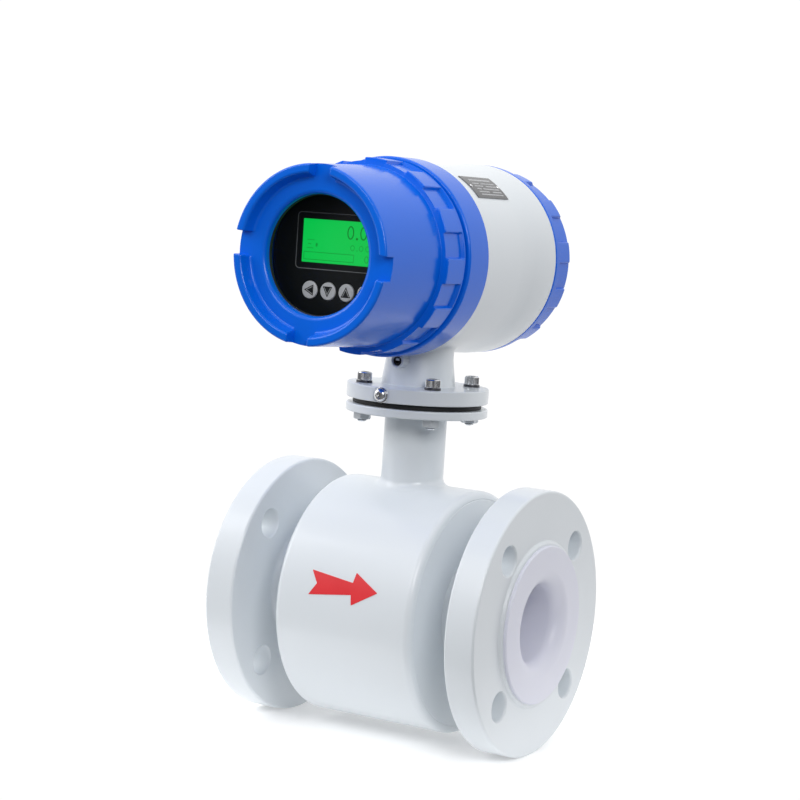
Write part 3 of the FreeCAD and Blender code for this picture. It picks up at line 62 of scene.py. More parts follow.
# ---------------- camera
# The camera stands to the front right of the meter and a little above it, on a stand that
# leans a few degrees. It is aimed at a point beside the neck.
turn, rise, lean = math.radians(30.48), math.radians(5.31), math.radians(3.72)
aim_aside, aim_height, distance = -10.84, 128.03, 1341.9
back = Vector((math.sin(turn) * math.cos(rise), -math.cos(turn) * math.cos(rise), math.sin(rise)))
level_right = Vector((math.cos(turn), math.sin(turn), 0))
level_up = back.cross(level_right)
right = level_right * math.cos(lean) + level_up * math.sin(lean)
up = level_up * math.cos(lean) - level_right * math.sin(lean)
stand = level_right * aim_aside * MM + Vector((0, 0, aim_height * MM)) + back * distance * MM

bpy.ops.object.camera_add()
camera = bpy.context.object
camera.name = "camera"
camera.matrix_world = Matrix.Translation(stand) @ Matrix((right, up, back)).transposed().to_4x4()
camera.data.sensor_width = 36
camera.data.lens = 95.66
camera.data.clip_start = 0.05
camera.data.clip_end = 50
bpy.context.scene.camera = camera


# ---------------- liner
# Moulded white lining of the tube. It is turned over both raised faces as a thin lip, and
# its mouths are wide and round. The skin is waxy, with faint rings from the moulding core.
SOFT_ANGLE = math.radians(32)
CORNER_STEPS = 6


def ends(node, axis):
    """Where a node's box starts and ends along an axis, in mm."""
    return [corner["xyz".index(axis)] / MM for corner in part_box(node)]


def only(piece):
    """Make a piece the only one selected, and the active one."""
    bpy.ops.object.select_all(action="DESELECT")
    piece.select_set(True)
    bpy.context.view_layer.objects.active = piece


def mode(name):
    """Start or stop editing the active piece."""
    bpy.ops.object.mode_set(mode=name)


def pick(piece, wanted):
    """Select the points of a piece for which wanted says yes, and edit them."""
    mode("EDIT")
    bpy.ops.mesh.select_all(action="DESELECT")
    mode("OBJECT")
    for vertex in piece.data.vertices:
        vertex.select = wanted(vertex.co)
    mode("EDIT")


def section(name, corners, closed=True):
    """Draw a section in the XZ plane: each corner is X and Z in mm, and may carry a rounding."""
    spots = [Vector((corner[0], 0, corner[1])) * MM for corner in corners]
    bpy.ops.object.select_all(action="DESELECT")
    bpy.ops.mesh.primitive_plane_add(size=MM)
    piece = bpy.context.object
    piece.name = name
    mode("EDIT")
    bpy.ops.mesh.select_all(action="SELECT")
    bpy.ops.mesh.merge(type="CENTER")
    bpy.ops.transform.translate(value=spots[0])
    for here, there in zip(spots, spots[1:]):
        bpy.ops.mesh.extrude_vertices_move(TRANSFORM_OT_translate={"value": there - here})
    if closed and (spots[0].z or spots[-1].z):
        pick(piece, lambda co: min((co - spots[0]).length, (co - spots[-1]).length) < 1e-7)
        bpy.ops.mesh.edge_face_add()
    for spot, corner in zip(spots, corners):
        if len(corner) > 2:
            pick(piece, lambda co: (co - spot).length < 1e-7)
            bpy.ops.mesh.bevel(offset=corner[2] * MM, segments=CORNER_STEPS, affect="VERTICES")
    mode("OBJECT")
    return piece


def facing_out(piece):
    """Turn the faces of a piece that is being edited outward, and stop editing it."""
    bpy.ops.mesh.select_all(action="SELECT")
    bpy.ops.mesh.normals_make_consistent(inside=False)
    mode("OBJECT")
    return piece


def turned(name, corners, steps=160, degrees=360, closed=True):
    """Turn a section, along and out, round the X axis: all the way, or with two flat ends."""
    piece = section(name, corners, closed)
    mode("EDIT")
    bpy.ops.mesh.select_all(action="SELECT")
    if degrees < 360:
        bpy.ops.mesh.edge_face_add()
    bpy.ops.mesh.spin(steps=steps, angle=math.radians(degrees), center=(0, 0, 0), axis=(1, 0, 0))
    bpy.ops.mesh.select_all(action="SELECT")
    bpy.ops.mesh.remove_doubles(threshold=1e-6)
    return facing_out(piece)


def both_ends(corners):
    """Corners of a section that is the same at both ends, from those of the far end."""
    return [(-along, *rest) for along, *rest in reversed(corners)] + corners


def set_in_place(piece, place=(0, 0, 0), turn=(0, 0, 0)):
    """Turn and move a piece, and leave its object at the origin."""
    only(piece)
    piece.location = place
    piece.rotation_euler = turn
    bpy.ops.object.transform_apply()
    return piece


def grained(material, kind, socket, size, stretch, detail=2.0, inlet=0):
    """Lead soft noise, in patches of about size mm, through a new node to a shader socket."""
    nodes, links = material.node_tree.nodes, material.node_tree.links
    place = nodes.new("ShaderNodeTexCoord")
    mapping = nodes.new("ShaderNodeMapping")
    mapping.inputs["Scale"].default_value = stretch
    noise = nodes.new("ShaderNodeTexNoise")
    noise.inputs["Scale"].default_value = 1 / (size * MM)
    noise.inputs["Detail"].default_value = detail
    node = nodes.new(kind)
    links.new(place.outputs["Object"], mapping.inputs["Vector"])
    links.new(mapping.outputs["Vector"], noise.inputs["Vector"])
    links.new(noise.outputs["Fac"], node.inputs[inlet])
    links.new(node.outputs[0], nodes["Principled BSDF"].inputs[socket])
    return node


def tinted(material, socket, size, first, second, stretch=(1, 1, 1), detail=2.0):
    """Let a colour wander between two tints."""
    ramp = grained(material, "ShaderNodeValToRGB", socket, size, stretch, detail).color_ramp
    for stop, position, tint in zip(ramp.elements, (0.1, 0.9), (first, second)):
        stop.position = position
        stop.color = (*tint, 1)


def glossed(material, size, least, most, stretch=(1, 1, 1)):
    """Let the roughness wander between two values."""
    reach = grained(material, "ShaderNodeMapRange", "Roughness", size, stretch).inputs
    for socket, value in zip(("From Min", "From Max", "To Min", "To Max"), (0.1, 0.9, least, most)):
        reach[socket].default_value = value


def roughened(material, size, depth, strength, stretch=(1, 1, 1)):
    """Raise the surface by a depth in mm."""
    bump = grained(material, "ShaderNodeBump", "Normal", size, stretch, inlet="Height").inputs
    bump["Distance"].default_value = depth * MM
    bump["Strength"].default_value = strength


def finish_for(name, colour, roughness, metallic=0.0, coat=0.0, tint=None, light=None,
               gloss=None, bump=None, **more):
    """A new finish. A tint, light, gloss or bump starts with the size of its patches in mm."""
    material = bpy.data.materials.new(name)
    material.use_nodes = True
    sockets = material.node_tree.nodes["Principled BSDF"].inputs
    more.update(Base_Color=(*colour, 1), Roughness=roughness, Metallic=metallic, Coat_Weight=coat)
    for socket, value in more.items():
        sockets[socket.replace("_", " ")].default_value = value
    if tint:
        tinted(material, "Base Color", *tint)
    if light:
        tinted(material, "Emission Color", *light)
    if gloss:
        glossed(material, *gloss)
    if bump:
        roughened(material, *bump)
    return material


def dressed(piece, material, slot, *nodes, body="meter"):
    """Smooth a piece and give it its material, its body and the nodes it stands for."""
    only(piece)
    bpy.ops.object.shade_smooth_by_angle(angle=SOFT_ANGLE)
    bpy.ops.object.modifier_add(type="WEIGHTED_NORMAL")
    piece.modifiers[-1].keep_sharp = True
    bpy.ops.object.modifier_apply(modifier=piece.modifiers[-1].name)
    piece.data.materials.clear()
    piece.data.materials.append(material)
    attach(piece, body)
    if nodes:
        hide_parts(*nodes)


liner_finish = finish_for(
    "liner_moulding", (0.74, 0.75, 0.85), 0.42, coat=0.15, Subsurface_Weight=0.12,
    Subsurface_Radius=(0.004, 0.004, 0.005),
    tint=(60, (0.73, 0.74, 0.84), (0.76, 0.77, 0.86)), gloss=(12, 0.38, 0.46),
    bump=(1.6, 0.008, 0.4, (3, 1, 1)))

liner_end, lip_radius = ends("liner", "x")[1], ends("liner", "z")[1]
lip_back, throat = liner_end - 2, liner_end - 4.5
bore_radius, tube_radius, mouth_round = 24, 27, 10
liner = turned("liner_tube", both_ends([
    (throat, tube_radius), (lip_back, tube_radius + 2.5), (lip_back, lip_radius),
    (liner_end, lip_radius, 0.9), (liner_end, bore_radius, mouth_round),
]))
dressed(liner, liner_finish, "liner", "liner")


# ---------------- pipe flanges
# Forged steel flanges with a long hub, painted with the body. The paint has run soft over
# the edges and into the four bolt holes, and it shows a faint orange peel in the light.
white_paint = finish_for(
    "white_paint", (0.72, 0.765, 0.80), 0.3, coat=0.25, Coat_Roughness=0.14,
    tint=(90, (0.712, 0.757, 0.79), (0.736, 0.776, 0.81)), gloss=(40, 0.27, 0.32),
    bump=(1.4, 0.004, 0.35))


def copied(piece, name):
    """A copy of a piece, with a mesh of its own."""
    only(piece)
    bpy.ops.object.duplicate(linked=False)
    bpy.context.object.name = name
    return bpy.context.object


def joined(pieces):
    """Join pieces into the first of them."""
    only(pieces[0])
    for piece in pieces[1:]:
        piece.select_set(True)
    bpy.ops.object.join()
    return pieces[0]


def spread(first, places, turn=(0, 0, 0), spin=0.0):
    """Copy a piece to each place in mm, each one spun further round its own axis, as one."""
    members = [first] + [copied(first, f"{first.name}_{k}") for k in range(1, len(places))]
    for number, (member, place) in enumerate(zip(members, places)):
        set_in_place(member, turn=(math.radians(spin * number), 0, 0))
        set_in_place(member, Vector(place) * MM, turn)
    return joined(members)


def hole_tool(name, radius, length, mouth, steps=64):
    """A cutter for a through hole along X, with a rounded mouth at both faces."""
    over = 1.0
    return turned(name, [
        (-over, 0), (-over, radius + mouth + over), (mouth, radius, mouth),
        (length - mouth, radius, mouth), (length + over, radius + mouth + over),
        (length + over, 0),
    ], steps)


def cut_away(piece, tool, operation="DIFFERENCE"):
    """Take a tool out of a piece, or keep what they have in common."""
    only(piece)
    bpy.ops.object.modifier_add(type="BOOLEAN")
    cutter = piece.modifiers[-1]
    cutter.operation = operation
    cutter.solver = "EXACT"
    cutter.object = tool
    bpy.ops.object.modifier_apply(modifier=cutter.name)
    bpy.data.objects.remove(tool)
    return piece


drum_end, raised_face = ends("outlet_flange", "x")
flange_radius = ends("outlet_flange", "z")[1]
flange_face = raised_face - 2
flange_back = flange_face - 20
hub_radius, raised_radius, sleeve_radius = 37, 51, 30.2
bolt_radius, bolt_circle = 9, 62.5
HOLE_ANGLES = [math.radians(45 + 90 * number) for number in range(4)]

outlet = turned("outlet_pipe_flange", [
    (drum_end, sleeve_radius), (drum_end, hub_radius), (flange_back, hub_radius, 3.2),
    (flange_back, flange_radius, 1.6), (flange_face, flange_radius, 1.6),
    (flange_face, raised_radius + 0.5, 0.9), (raised_face, raised_radius, 1.1),
    (raised_face, sleeve_radius),
], 192)
flange_drill = hole_tool("flange_drill", bolt_radius, flange_face - flange_back, 0.8)
cut_away(outlet, spread(flange_drill, [
    (flange_back, bolt_circle * math.cos(angle), bolt_circle * math.sin(angle))
    for angle in HOLE_ANGLES]))
inlet = set_in_place(copied(outlet, "inlet_pipe_flange"), turn=(0, 0, math.pi))
dressed(outlet, white_paint, "white_paint", "outlet_flange")
dressed(inlet, white_paint, "white_paint", "inlet_flange")


# ---------------- coil drum
# Rolled steel shell with a disc welded into each end. Its outer edges are soft, and a thin
# ground seam shows on each end face where the disc meets the shell.
drum_radius = ends("coil_drum", "y")[1]
seam_radius = drum_radius - 5
plate_back = drum_end - 4
seam_depth, seam_half = 0.35, 0.5
drum = turned("drum_shell", both_ends([
    (drum_end, drum_radius, 4.4), (drum_end, seam_radius + seam_half),
    (drum_end - seam_depth, seam_radius), (drum_end, seam_radius - seam_half),
    (drum_end, sleeve_radius), (plate_back, sleeve_radius), (plate_back, seam_radius),
]), 256)
dressed(drum, white_paint, "white_paint", "coil_drum", "inlet_end_plate", "outlet_end_plate")


# ---------------- flow arrow
# Red vinyl arrow, die cut and rubbed down on the front of the drum. It points from the inlet
# to the outlet, and it has the soft gloss of plastic film.
red_vinyl = finish_for(
    "red_vinyl", (0.74, 0.028, 0.035), 0.36,
    tint=(14, (0.70, 0.022, 0.03), (0.78, 0.034, 0.042)), bump=(1.2, 0.004, 0.4))


def extruded(name, corners, near, far):
    """Draw an outline in the XZ plane and carry it along Y from near to far in mm."""
    piece = section(name, corners)
    mode("EDIT")
    bpy.ops.mesh.select_all(action="SELECT")
    bpy.ops.mesh.edge_face_add()
    bpy.ops.mesh.extrude_region_move(TRANSFORM_OT_translate={"value": (0, (far - near) * MM, 0)})
    return set_in_place(facing_out(piece), (0, near * MM, 0))


arrow_tip = ends("flow_arrow", "x")[1]
arrow_low, arrow_high = ends("flow_arrow", "z")
arrow_rise, barb = (arrow_low + arrow_high) / 2, (arrow_high - arrow_low) / 2
tail, shaft = 7.45, 3.6
film_inside, film_outside = drum_radius + 0.01, drum_radius + 0.24
arrow = extruded("flow_arrow_film", [
    (-arrow_tip, arrow_rise + tail, 0.4), (-arrow_tip + 5, arrow_rise, 0.3),
    (-arrow_tip, arrow_rise - tail, 0.4), (6, arrow_rise - shaft, 0.3),
    (7, arrow_rise - barb, 0.4), (arrow_tip, arrow_rise, 0.5),
    (7, arrow_rise + barb, 0.4), (6, arrow_rise + shaft, 0.3),
], -drum_radius - 2, -drum_radius + 8)
film = turned("arrow_skin", both_ends([(30, film_outside), (30, film_inside)]), 256)
dressed(cut_away(arrow, film, "INTERSECT"), red_vinyl, "arrow_red", "flow_arrow")


# ---------------- neck
# Steel tube welded upright on the drum, with the weld dressed to a soft foot and painted
# over. A round plate on top of it carries the converter.
UP_THE_NECK = (0, -math.pi / 2, 0)


def upright(piece):
    """Stand a piece drawn along X upright in the middle of the meter."""
    return set_in_place(piece, turn=UP_THE_NECK)


def flared_onto(piece, start, radius, flare, saddle, centre, way, along):
    """Carry the open ring at a height on to a round saddle with a soft flare, then close it."""
    rings, sunk, widened = 10, 1.2, 0.6
    pick(piece, lambda co: abs(co.z - start * MM) < 1e-6)
    for step in range(rings + 2):
        share = min(step / rings, 1) * math.pi / 2
        reach = radius + flare * (1 - math.cos(share))
        lift = flare * (1 - math.sin(share))
        if step > rings:
            reach, lift = reach + widened, -sunk
        mode("EDIT")
        bpy.ops.mesh.select_mode(type="EDGE")
        bpy.ops.mesh.select_mode(type="VERT")
        bpy.ops.mesh.extrude_edges_move()
        mode("OBJECT")
        for vertex in piece.data.vertices:
            if vertex.select:
                angle = math.atan2(vertex.co.y, vertex.co.x)
                off = reach * (math.sin(angle) if along == "x" else math.cos(angle))
                height = centre + way * (math.sqrt(saddle ** 2 - off ** 2) + lift)
                vertex.co = Vector((reach * math.cos(angle), reach * math.sin(angle), height)) * MM
    mode("EDIT")
    bpy.ops.mesh.edge_face_add()
    return facing_out(piece)


neck_top, plate_top = ends("neck_flange", "z")
plate_radius = ends("neck_flange", "x")[1]
neck_radius, neck_flare, neck_start = 19.7, 5.0, 96
neck = upright(turned("neck_tube_body", [
    (neck_top, 0), (neck_top, neck_radius), (neck_start, neck_radius),
], 128, closed=False))
flared_onto(neck, neck_start, neck_radius, neck_flare, drum_radius, 0, 1, "x")
dressed(neck, white_paint, "white_paint", "neck_tube")

lead_hole = 12
screw_circle, screw_hole = 35, 3.3


def four_round(first, height=0.0, spin=0.0):
    """Copy a piece drawn along X upright on to the four places of the screw circle."""
    return spread(first, [
        (screw_circle * math.cos(angle), screw_circle * math.sin(angle), height)
        for angle in HOLE_ANGLES], UP_THE_NECK, spin)


def drilled_upright(piece, name, low, high, mouth):
    """Drill the four screw holes through a piece, from one height to another."""
    return cut_away(piece, four_round(hole_tool(name, screw_hole, high - low, mouth, 32), low))


neck_plate = upright(turned("neck_plate", [
    (neck_top, lead_hole), (neck_top, plate_radius, 0.9),
    (plate_top, plate_radius, 0.9), (plate_top, lead_hole),
]))
drilled_upright(neck_plate, "neck_drill", neck_top, plate_top, 0.3)
dressed(neck_plate, white_paint, "white_paint", "neck_flange")


# ---------------- neck gasket
# Flat ring stamped from black rubber sheet, squeezed between the two plates so that its edge
# bulges a little.
black_rubber = finish_for(
    "black_rubber", (0.018, 0.018, 0.02), 0.62,
    tint=(9, (0.005, 0.005, 0.006), (0.014, 0.014, 0.016)), bump=(0.7, 0.03, 0.6))

gasket_top = ends("neck_gasket", "z")[1]
gasket_radius = ends("neck_gasket", "x")[1]
gasket = upright(turned("neck_gasket_ring", [
    (plate_top, lead_hole), (plate_top, gasket_radius - 0.3, 0.5),
    ((plate_top + gasket_top) / 2, gasket_radius, 1.1), (gasket_top, gasket_radius - 0.3, 0.5),
    (gasket_top, lead_hole),
]))
drilled_upright(gasket, "gasket_punch", plate_top, gasket_top, 0.1)
dressed(gasket, black_rubber, "black_rubber", "neck_gasket")


# ---------------- neck screws
# Plated socket screws with knurled heads, each on a split spring washer, with a chamfered
# hexagon nut under the neck's plate. They clamp the gasket between the two plates.
plating = finish_for(
    "bright_plating", (0.78, 0.79, 0.80), 0.16, metallic=1.0,
    tint=(3, (0.66, 0.67, 0.69), (0.86, 0.86, 0.86)), gloss=(1.2, 0.12, 0.27),
    bump=(0.5, 0.012, 0.4))

dark_plating = finish_for(
    "spring_washer_plating", (0.1, 0.1, 0.11), 0.35, metallic=0.9,
    tint=(2, (0.07, 0.07, 0.08), (0.14, 0.14, 0.15)), gloss=(1.5, 0.28, 0.45))

zinc_plating = finish_for(
    "dull_zinc_plating", (0.66, 0.69, 0.72), 0.42, metallic=0.45,
    tint=(3, (0.60, 0.63, 0.66), (0.71, 0.74, 0.77)), gloss=(2, 0.36, 0.5))

housing_foot_top, washer_top = ends("neck_spring_washers", "z")
screw_end, head_top = ends("neck_screws", "z")
nut_low = ends("neck_nuts", "z")[0]
screw_radius, head_radius = 3, 4.6
washer_radius = head_radius + 0.5
KNURLS, KNURL_DEPTH, KNURL_MARK = 96, 0.17, 0.001
SCREW_SPIN = 71


def hexagon_prism(name, flats, low, high):
    """A hexagonal prism along X between two places."""
    bpy.ops.mesh.primitive_cylinder_add(
        vertices=6, radius=flats / math.sqrt(3) * MM, depth=(high - low) * MM,
        location=((low + high) / 2 * MM, 0, 0), rotation=(0, math.pi / 2, 0))
    piece = bpy.context.object
    piece.name = name
    bpy.ops.object.transform_apply()
    return piece


def threaded(start, end, radius, pitch, depth):
    """Corners of a run of thread grooves, from one place to another."""
    count = int(abs(end - start) / pitch)
    step = (end - start) / count
    corners = []
    for groove in range(count):
        here = start + step * groove
        corners += [(here + step * 0.35, radius - depth), (here + step, radius)]
    return corners


def hexagon_nut(name, flats, low, high, bore):
    """A nut along X with its corners turned down at both ends."""
    corner = flats / math.sqrt(3)
    nut = hexagon_prism(name, flats, low, high)
    form = turned(f"{name}_form", [
        (low, 0), (low, flats / 2 - 0.1), (low + 0.9, corner + 0.2), (high - 0.9, corner + 0.2),
        (high, flats / 2 - 0.1), (high, 0),
    ], 72)
    cut_away(nut, form, "INTERSECT")
    hole = set_in_place(hole_tool(f"{name}_bore", bore, high - low, 0.4, 40), (low * MM, 0, 0))
    return cut_away(nut, hole)


screw = turned("neck_socket_screws", [
    (screw_end, 0), (screw_end, screw_radius - 0.7), (screw_end + 0.7, screw_radius),
    *threaded(screw_end + 0.8, nut_low + 1, screw_radius, 1, 0.55),
    (washer_top, screw_radius), (washer_top, head_radius, 0.25),
    (washer_top + 0.45, head_radius), (washer_top + 0.46, head_radius + KNURL_MARK),
    (head_top - 0.75, head_radius + KNURL_MARK), (head_top - 0.74, head_radius),
    (head_top, head_radius - 0.5, 0.3), (head_top, 0),
], KNURLS)
for vertex in screw.data.vertices:
    out = math.hypot(vertex.co.y, vertex.co.z)
    if abs(out - (head_radius + KNURL_MARK) * MM) < 4e-7:
        ridge = round(math.atan2(vertex.co.z, vertex.co.y) / math.tau * KNURLS)
        share = 1 - (KNURL_DEPTH * MM / out if ridge % 2 else 0)
        vertex.co.y *= share
        vertex.co.z *= share
socket_floor = head_top - (head_top - washer_top) * 0.55
cut_away(screw, hexagon_prism("neck_screw_socket", 5, socket_floor, head_top + 1))
dressed(four_round(screw, spin=SCREW_SPIN), plating, "plated_steel", "neck_screws")

washer = turned("neck_split_washers", [
    (housing_foot_top, screw_radius + 0.25), (housing_foot_top, washer_radius, 0.2),
    (washer_top, washer_radius, 0.2), (washer_top, screw_radius + 0.25),
], 64, 345)
dressed(four_round(washer, spin=SCREW_SPIN), dark_plating, "plated_steel", "neck_spring_washers")

nut = hexagon_nut("neck_hexagon_nuts", 10, nut_low, neck_top, screw_radius + 0.05)
dressed(four_round(nut, spin=SCREW_SPIN), zinc_plating, "plated_steel", "neck_nuts")


# ---------------- converter housing
# Aluminium casting, painted with the body: a barrel with a screw thread at both ends, on a
# short foot with a round plate. The bosses for the cover lock and the glands are cast on.
head_axis = sum(ends("window_glass", "z")) / 2
cover_thread = 54
spigot_radius = cover_thread - 0.08
front_spigot, rear_spigot = 49.2, -74.5
front_shoulder, rear_shoulder = 29.2, -59.5
barrel_radius, barrel_rear = 58.7, 61
compartment = 47.5
partition_front, partition_back = -14, -18
AHEAD = (0, 0, -math.pi / 2)


def on_the_head(piece, height=head_axis):
    """Lay a piece drawn along X at a height, facing the front: on the converter's axis, or not."""
    return set_in_place(piece, (0, 0, height * MM), AHEAD)


barrel = on_the_head(turned("housing_casting", [
    (partition_front, 0), (partition_front, compartment, 2), (front_spigot, compartment),
    (front_spigot, cover_thread - 1), (front_spigot - 1, spigot_radius),
    *threaded(front_spigot - 1.5, front_shoulder + 2, spigot_radius, 2, 0.9),
    (front_shoulder, spigot_radius), (front_shoulder, barrel_radius, 0.9),
    (-25, barrel_radius, 9), (-42, barrel_rear, 9), (rear_shoulder, barrel_rear, 0.9),
    (rear_shoulder, spigot_radius), (rear_shoulder - 1, cover_thread - 0.9),
    *threaded(rear_shoulder - 1.5, rear_spigot + 1.5, spigot_radius, 2, 0.9),
    (rear_spigot, cover_thread - 1), (rear_spigot, compartment),
    (partition_back, compartment, 2), (partition_back, 0),
], 192))

foot_low = ends("converter_housing", "z")[0]
foot_start, foot_radius, foot_flare = 155, 21.3, 3.0
pedestal = upright(turned("housing_foot", [
    (foot_low, 0), (foot_low, plate_radius, 0.9), (housing_foot_top, plate_radius, 0.9),
    (housing_foot_top, 23.5, 0.7), (foot_start, foot_radius),
], closed=False))
flared_onto(pedestal, foot_start, foot_radius, foot_flare, barrel_radius, head_axis, -1, "y")
earth_seat, earth_height = 44.2, (foot_low + housing_foot_top) / 2
spot_face = on_the_head(turned("earth_spot_face", [
    (earth_seat, 0), (earth_seat, 5.6, 0.5), (earth_seat + 3, 5.8), (earth_seat + 3, 0),
], 48), earth_height)
drilled_upright(pedestal, "foot_drill", foot_low, housing_foot_top, 0.3)
cut_away(pedestal, spot_face)

lock_height = head_axis - barrel_radius - 5.4
lock_end, lock_radius, lock_bore = 28.4, 4.6, 3.2
lock_boss = on_the_head(turned("lock_boss", [
    (4, 0), (4, lock_radius), (lock_end, lock_radius, 0.8), (lock_end, lock_bore + 0.3),
    (lock_end - 0.3, lock_bore), (lock_end - 13, lock_bore), (lock_end - 13, 0),
], 64), lock_height)
bpy.ops.mesh.primitive_cube_add(
    size=MM, location=(0, -14.6 * MM, (lock_height + 3.7) * MM), scale=(6, 26, 7.4))
lock_web = bpy.context.object
lock_web.name = "lock_web"
bpy.ops.object.transform_apply()
bpy.ops.object.modifier_add(type="BEVEL")
lock_web.modifiers[-1].width = 1 * MM
lock_web.modifiers[-1].segments = 4
bpy.ops.object.modifier_apply(modifier=lock_web.modifiers[-1].name)

gland_face, collar_corner = 64, 13.86
gland_along = sum(ends("cable_gland_bodies", "y")) / 2
gland_low, gland_high = ends("cable_gland_bodies", "z")


def at_both_glands(first, spin=0.0):
    """Copy a piece drawn along X on to both gland axes, pointing out of the side."""
    heights = (gland_low + collar_corner, gland_high - collar_corner)
    return spread(first, [(0, gland_along, height) for height in heights], (0, 0, math.pi), spin)


gland_bosses = at_both_glands(turned("gland_bosses", [
    (compartment + 3, 0), (compartment + 3, 14.6), (barrel_radius + 0.6, 13.9),
    (gland_face, 13.5, 0.9), (gland_face, 0),
], 72))
housing = joined([barrel, pedestal, lock_boss, lock_web, gland_bosses])
housing.name = "converter_casting"
dressed(housing, white_paint, "white_paint", "converter_housing")


# ---------------- lock and earth screws
# A blackened set screw in the boss under the barrel stops the front cover from turning. The
# earth screw in the foot's edge is plated, with a cross recess, and sits on a flat washer.
black_steel = finish_for(
    "blackened_steel", (0.02, 0.02, 0.022), 0.42, metallic=0.7,
    tint=(2, (0.014, 0.014, 0.016), (0.03, 0.03, 0.034)), gloss=(1, 0.34, 0.5))


def ahead(node):
    """Where a node's box starts and ends towards the front, in mm."""
    front, rear = ends(node, "y")
    return -rear, -front


lock_back, lock_face = ahead("lock_screw")
lock_screw_radius = 3.1
lock_screw = turned("cover_lock_screw", [
    (lock_back, 0), (lock_back, 2.2), (lock_back + 0.8, lock_screw_radius),
    *threaded(lock_back + 0.9, lock_face - 0.8, lock_screw_radius, 1, 0.5),
    (lock_face - 0.5, lock_screw_radius), (lock_face, 2.7), (lock_face, 0),
], 64)
cut_away(lock_screw, hexagon_prism("lock_screw_socket", 3, lock_face - 3.2, lock_face + 1))
dressed(on_the_head(lock_screw, lock_height), black_steel, "black_plastic", "lock_screw")

earth_back, earth_face = ahead("earth_screw")
earth_collar = ahead("earth_washer")[1]
earth_radius, earth_head, earth_turn = 1.95, 4.15, math.radians(12)
earth_screw = turned("earth_pan_screw", [
    (earth_back, 0), (earth_back, 1.4), (earth_back + 0.6, earth_radius),
    *threaded(earth_back + 0.7, earth_seat - 0.2, earth_radius, 0.7, 0.35),
    (earth_collar, earth_radius), (earth_collar, earth_head, 0.2),
    (earth_face - 1.5, earth_head, 1.1), (earth_face - 0.25, 2.6, 0.8), (earth_face, 0),
], 72)
cross = extruded("earth_cross", [
    (earth_face + 1, 2.6), (earth_face - 0.8, 2.1), (earth_face - 1.8, 0.7),
    (earth_face - 1.8, -0.7), (earth_face - 0.8, -2.1), (earth_face + 1, -2.6),
], -0.55, 0.55)
crossing = set_in_place(copied(cross, "earth_crossing"), turn=(math.pi / 2, 0, 0))
cut_away(cut_away(earth_screw, cross), crossing)
set_in_place(earth_screw, turn=(earth_turn, 0, 0))
dressed(on_the_head(earth_screw, earth_height), plating, "plated_steel", "earth_screw")
earth_washer = turned("earth_flat_washer", [
    (earth_seat, 2.2), (earth_seat, 4.8, 0.2), (earth_collar, 4.8, 0.25), (earth_collar, 2.2),
], 72)
dressed(on_the_head(earth_washer, earth_height), plating, "plated_steel", "earth_washer")


# ---------------- covers
# Cast covers with a milled grip band, painted a glossy deep blue. The paint is thick on the
# edges. The front cover is deep, with a notched crown round the window; the back one is blind.
blue_paint = finish_for(
    "blue_paint", (0.0, 0.13, 0.76), 0.22, coat=0.12, Coat_Roughness=0.08,
    Specular_IOR_Level=0.3,
    tint=(60, (0.0, 0.125, 0.71), (0.0, 0.135, 0.75)), gloss=(30, 0.2, 0.26),
    bump=(1.6, 0.004, 0.35))

COLUMNS = 720
COLUMN = math.tau / COLUMNS
ROUND_COLUMNS = 3
GAP_COLUMNS, EASE_COLUMNS, FLOOR_COLUMNS = 15, 10, 6
LUG_PITCH = math.radians(30)
CLOSE = 0.01
edge_round = 0.7
lug_radius, lug_root, groove_radius, cover_bore = 59, 57, 55.8, 49.5


def rounding(column):
    """How far in from a milled side a column stands, and how far its skin is drawn in."""
    share = min(column, ROUND_COLUMNS) / ROUND_COLUMNS * math.pi / 2
    return edge_round * (1 - math.cos(share)), edge_round * (1 - math.sin(share))


def placed(vertex, along, out, angle):
    """Put a vertex where these cylinder coordinates in mm say."""
    vertex.co = Vector((along, out * math.cos(angle), out * math.sin(angle))) * MM


def skin(cover):
    """Each vertex of a cover, with its normal and its cylinder coordinates in mm."""
    normals = [vertex.normal.copy() for vertex in cover.data.vertices]
    for vertex, normal in zip(cover.data.vertices, normals):
        yield (vertex, normal, vertex.co.x / MM, math.hypot(vertex.co.y, vertex.co.z) / MM,
               math.atan2(vertex.co.z, vertex.co.y))


def mill_lugs(cover, low, high, clocking, half):
    """Mill a band down to its root between the lugs, with soft edges on each lug."""
    for vertex, normal, along, out, angle in skin(cover):
        if not low - CLOSE < along < high + CLOSE or out < lug_root - CLOSE:
            continue
        lug = round((angle - clocking) / LUG_PITCH) * LUG_PITCH + clocking
        side = math.copysign(1, angle - lug)
        column = round((half - abs(angle - lug)) / COLUMN)
        if column < 0:
            foot = lug + side * (half + 0.5 / out)
            placed(vertex, along, lug_root, angle if column < -1 else foot)
        elif column <= ROUND_COLUMNS:
            inset, sink = rounding(column)
            reach = out - math.hypot(normal.y, normal.z) * sink
            if out < lug_root + CLOSE:
                reach, sink = out, 0
            placed(vertex, along - normal.x * sink, max(reach, lug_root),
                   lug + side * (half - inset / out))


